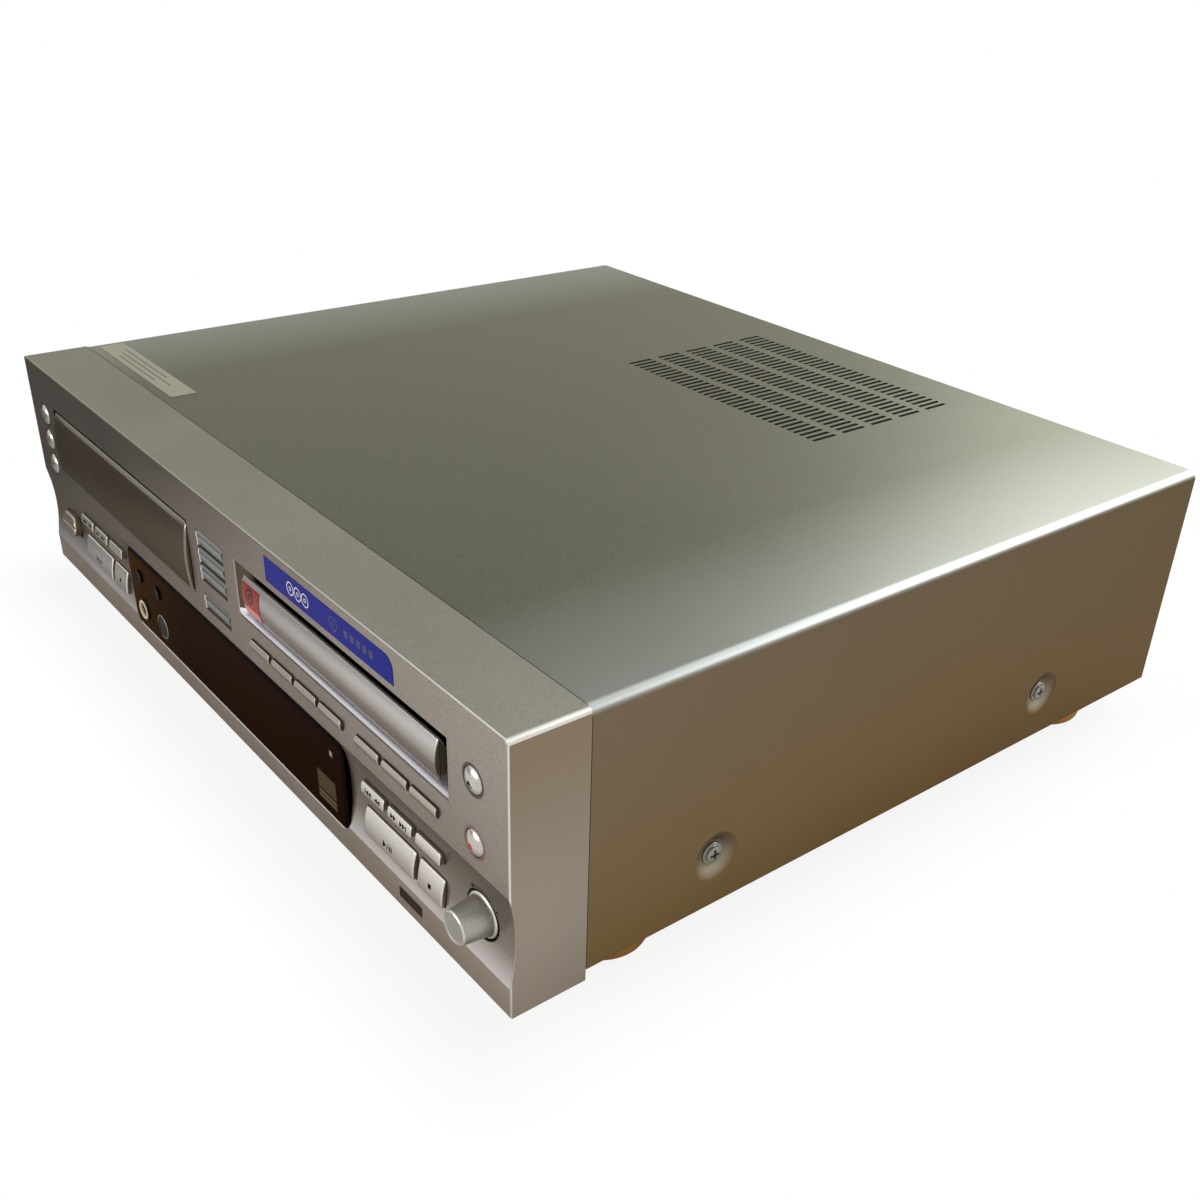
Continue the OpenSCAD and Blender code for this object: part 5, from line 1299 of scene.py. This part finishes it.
crest, face = key_fronts["recorder_open_button"]
eject = [[(-1.3, -1.0), (1.3, -1.0), (0.0, 0.7)], bar_points(0.0, -1.7, 2.6, 0.5)]
piece("recorder_open_sign", signs(eject, crest, ink, face), "recorder_open_button")
crest, face = key_fronts["record_button"]
record_red = printed("record_red", rgb(196, 62, 34), 0.35, 0.4, 0.004)
dot = disc_points(-0.4, -0.9, 1.2, 24)
piece("record_dot", signs([dot], crest, record_red, face), "record_button")

# %% [markdown]
# ## Labels and small marks
# A shop deck wears stickers. The blue one over the tray has one round corner and three plain disc
# pictures; the red one on the tray front has a ring and a pale foot; the one on the cover is a bare
# beige strip with ruled lines. All are thin slabs, so that they have an edge that throws a shadow.

# %% Blue sticker
STICKER_T = 0.12
label_blue = printed("label_blue", rgb(23, 29, 142), 0.32, 0.8, 0.004, 0.04)
label_white = printed("label_white", rgb(232, 232, 236))
label_faint = printed("label_faint", rgb(74, 66, 112))


def slab(points, middle, material):
    """A sticker: a polygon with the sticker's thickness, its back on the surface it is stuck to."""
    return placed(sign(points, flat_face, STICKER_T, 0.05), middle), material


def ring_slab(u, outer, inner, middle, material):
    """A printed ring on a sticker: a low rectangle turned about the middle of the ring."""
    back, face = STICKER_T - 0.05, STICKER_T + 0.03
    loop = [(inner, back), (inner, face), (outer, face), (outer, back), (inner, back)]
    return placed(turned(loop, 40) + np.array([u, 0.0, 0.0]), middle), material


def bar_slab(u, v, w, h, lift=0.02, depth=0.0):
    """A printed bar on a sticker."""
    return sign(bar_points(u, v, w, h), flat_face, STICKER_T + lift, depth)


BLUE_W, BLUE_H, BLUE_CORNER = 91.4, 10.2, 5.0
BLUE_X, BLUE_DROP = 99.7, 8.8
DISC_U, DISC_PITCH, DISC_RINGS = -25.5, 5.6, ((2.7, 2.2), (0.9, 0.5))
FAINT_U, FAINT_RINGS = 6.0, ((2.9, 2.3), (1.0, 0.5))
STRIPE_U, STRIPE_PITCH, STRIPE_W, STRIPE_H = 15.0, 4.2, 2.6, 3.0
blue_middle = [BLUE_X, FRONT, TOP - BLUE_DROP]
corner_turn = np.linspace(0, np.pi / 2, 9)
blue_corner = np.stack([BLUE_W / 2 - BLUE_CORNER + BLUE_CORNER * np.cos(corner_turn),
                        BLUE_H / 2 - BLUE_CORNER + BLUE_CORNER * np.sin(corner_turn)], -1)
blue_points = [(-BLUE_W / 2, -BLUE_H / 2), (BLUE_W / 2, -BLUE_H / 2), *map(tuple, blue_corner),
               (-BLUE_W / 2, BLUE_H / 2)]
blue_parts = [slab(blue_points, blue_middle, label_blue)]
for i in range(3):
    u = DISC_U + DISC_PITCH * i
    blue_parts += [ring_slab(u, *radii, blue_middle, label_white) for radii in DISC_RINGS]
blue_parts += [ring_slab(FAINT_U, *radii, blue_middle, label_faint) for radii in FAINT_RINGS]
for i in range(5):
    stripe = bar_slab(STRIPE_U + STRIPE_PITCH * i, 0.0, STRIPE_W, STRIPE_H, 0.03, 0.05 - STICKER_T)
    blue_parts.append((placed(stripe, blue_middle), label_faint))
trim("blue_sticker", blue_parts)

# %% Red sticker
RED_W, RED_H = 14.6, 12.6
RED_U, RED_V = RED_W / 2 + 0.6 - tray_w / 2, -0.3
RED_RING_U, RED_RING_V = RED_U - 0.8, 1.9
PINK_H, PINK_V = 2.9, -4.9
label_edge = printed("label_edge", rgb(150, 56, 54), 0.42, 0.7, 0.004, 0.08)
label_red = printed("label_red", rgb(150, 70, 67), 0.42, 0.7, 0.004)
label_dark = printed("label_dark", rgb(52, 26, 26), 0.45)
label_pink = printed("label_pink", rgb(232, 142, 138), 0.42)
tray_arc = swelling(tray_h, TRAY_FRONT_RISE)


def draped(w, h, v, lift):
    """A thin rectangle that follows the swelling of the tray front, its back sunk under the face."""
    sheet = pad(w, h, 0.05, 0.6, 0.03, lambda a, b: tray_arc(a + RED_U, b + v))
    sheet += np.array([RED_U, v, lift])
    sheet[0, :, 2] = tray_arc(sheet[0, :, 0], sheet[0, :, 1]) - 0.05
    return placed(sheet, tray_middle)


red_parts = [(draped(RED_W, RED_H, RED_V, 0.10), label_edge),
             (draped(RED_W - 1.6, RED_H - 1.6, RED_V, 0.12), label_red),
             (draped(RED_W - 1.2, PINK_H, PINK_V, 0.14), label_pink)]
ring_turn = np.linspace(0, 2 * np.pi, 40, endpoint=False)
ring_lift = np.array([0.05, 0.15, 0.15, 0.05, 0.05])[:, None]
for outer, inner in ((3.1, 2.4), (1.3, 0.6)):
    r = np.array([inner, inner, outer, outer, inner])[:, None]
    u, v = RED_RING_U + r * np.cos(ring_turn), RED_RING_V + r * np.sin(ring_turn)
    red_parts.append((placed(np.stack([u, v, tray_arc(u, v) + ring_lift], -1), tray_middle), label_dark))
piece("red_sticker", red_parts, "recorder_drawer")

# %% Strip on the cover, badge, marks
label_beige = printed("label_beige", rgb(164, 160, 137), 0.45, 0.8, 0.004)
label_rule = printed("label_rule", rgb(104, 102, 88), 0.5, 0.5)
STRIP_W, STRIP_H = 90.6, 12.3
STRIP_X, STRIP_BACK = -158.7, 41.2
RULE_H, RULE_PITCH = 0.7, 3.0
strip_middle = np.array([STRIP_X, FRONT + STRIP_BACK, TOP])
paper = pad(STRIP_W, STRIP_H, 0.05, 1.2, 0.04)
strip = [(placed(paper, strip_middle + [0, 0, STICKER_T], "top"), label_beige)]
for row, (start, length) in enumerate(((-34.0, 52.0), (-30.0, 60.0), (-26.0, 44.0))):
    rule = bar_slab(start + length / 2, RULE_PITCH * (1 - row), length, RULE_H, depth=-0.05)
    strip.append((placed(rule, strip_middle, "top"), label_rule))
piece("cover_strip", strip, "chassis")

badge_ink = printed("badge_ink", rgb(40, 24, 22), 0.4, 0.5)
BADGE_W, BADGE_H = 15.2, 4.5
BADGE_X, BADGE_DROP = 148.1, 101.2
badge = pad(BADGE_W, BADGE_H, 0.05, 0.4, 0.05)
trim("lower_badge", [(placed(badge, [BADGE_X, FRONT - STICKER_T, TOP - BADGE_DROP]), badge_ink)])

LAMP_W = 2.2
LAMP_X, LAMP_DROP = 94.6, 68.0
indicator = finish("indicator", rgb(150, 142, 120), 0.35, grain=0.4, relief=0.003)
lamp_square = [slab(bar_points(0.0, 0.0, LAMP_W, LAMP_W), [LAMP_X, FRONT, TOP - LAMP_DROP], indicator)]
piece("window_indicator", lamp_square, "chassis")

LABEL_X, LABEL_Z = 89.0, 29.8
LABEL_W, LABEL_H = 14.6, 13.4
print_dim = printed("print_dim", rgb(52, 42, 26), 0.5, 0.4, sheen=0.02)
print_line = printed("print_line", rgb(108, 98, 72), 0.5, 0.4, sheen=0.02)
print_middle = np.array([LABEL_X, FRONT, LABEL_Z])
window_print = [slab(bar_points(0.0, 0.0, LABEL_W, LABEL_H), print_middle, print_dim)]
fine_rows = [(LABEL_H / 2 - 1.0 - 1.1 * row, 0.45) for row in range(7)]
bold_rows = [(1.3 - LABEL_H / 2 + 2.0 * row, 1.1) for row in range(2)]
for v, h in fine_rows + bold_rows:
    window_print.append((placed(bar_slab(0.0, v, LABEL_W - 0.8, h), print_middle), print_line))
piece("window_print", window_print, "chassis")

jog_middle = axis_of("jog_knob")[0]
ARC_R = 10.3
ARC_HALF = 0.2
HEAD_HALF, HEAD_TURN = 0.9, 0.17
sweep = np.linspace(0.34 * np.pi, 0.66 * np.pi, 17)


def on_arc(r, turn):
    """A point at a radius and an angle about the jog knob."""
    return r * np.cos(turn), r * np.sin(turn)


jog_marks = []
for start, end in zip(sweep[:-1], sweep[1:]):
    corners = ((-1, start), (1, start), (1, end), (-1, end))
    jog_marks.append([on_arc(ARC_R + side * ARC_HALF, turn) for side, turn in corners])
last = sweep[-1]
arrow_head = ((ARC_R - HEAD_HALF, last), (ARC_R + HEAD_HALF, last), (ARC_R, last + HEAD_TURN))
jog_marks.append([on_arc(r, turn) for r, turn in arrow_head])
jog_marks += [disc_points(8.3, 6.6, 0.5), arrow_points(-17.4, 14.0, 1.2, 1.3)]


def scoop_face(u, v):
    """Face function of the panel about the jog knob: as far back as the scoop is there."""
    return -panel_depth(v + jog_middle[2])


trim("jog_marks", signs(jog_marks, on_panel(jog_middle), ink, scoop_face))

# %% [markdown]
# ## Trim
# A bright half round along the foot of the window is a painted highlight on the lower edge of its hole,
# and coloured collars tell the line sockets apart. The highlight is a half round carried along a
# straight path; a collar is turned.

# %% Window foot highlight and socket collars
BEAD_R = 0.35
BEAD_RISE = 0.18
BEAD_GAP = 0.15
BEAD_IN, BEAD_TAPER = 4.0, 0.6
bead_turn = np.linspace(0, np.pi, 9)
bead_section = np.stack([BEAD_R * np.cos(bead_turn), BEAD_RISE * np.sin(bead_turn)], -1)
bead_section = np.concatenate([bead_section, [[-BEAD_R, -0.05], [BEAD_R, -0.05]]])
bead_left, bead_right = WINDOW_LEFT + BEAD_IN, WINDOW_RIGHT - BEAD_IN
bead_u = np.array([bead_left, bead_left + BEAD_TAPER, bead_right - BEAD_TAPER, bead_right])
bead_scale = np.array([0.1, 1.0, 1.0, 0.1])[:, None]
foot_highlight = np.stack([np.broadcast_to(bead_u[:, None], (4, len(bead_section))), bead_section[:, 0] * bead_scale,
                 bead_section[:, 1] * bead_scale], -1)
trim("window_foot_highlight", [(placed(foot_highlight, [0, FRONT, WINDOW_BOTTOM - BEAD_R - BEAD_GAP]), label_white)])

LINE_PITCH = 18.0
low, high = box("line_sockets")
line_x = (low[0] + high[0]) / 2
line_z = (low[2] + high[2]) / 2
collar = hoop([(4.3, 0.02), (4.3, 1.0), (6.0, 0.8), (6.3, 0.02)], 0.25)
collar_white = finish("collar_white", rgb(226, 224, 218), 0.4, grain=0.5, relief=0.005)
collar_red = finish("collar_red", rgb(170, 34, 30), 0.4, grain=0.5, relief=0.005)
for name, material, up in (("line_collars_left", collar_white, 1), ("line_collars_right", collar_red, -1)):
    places = [(line_x + i * LINE_PITCH, REAR, line_z + up * LINE_PITCH / 2) for i in (-1, 0, 1)]
    collars = [(placed(turned(collar), place, "rear"), material) for place in places]
    piece(name, collars, "chassis")
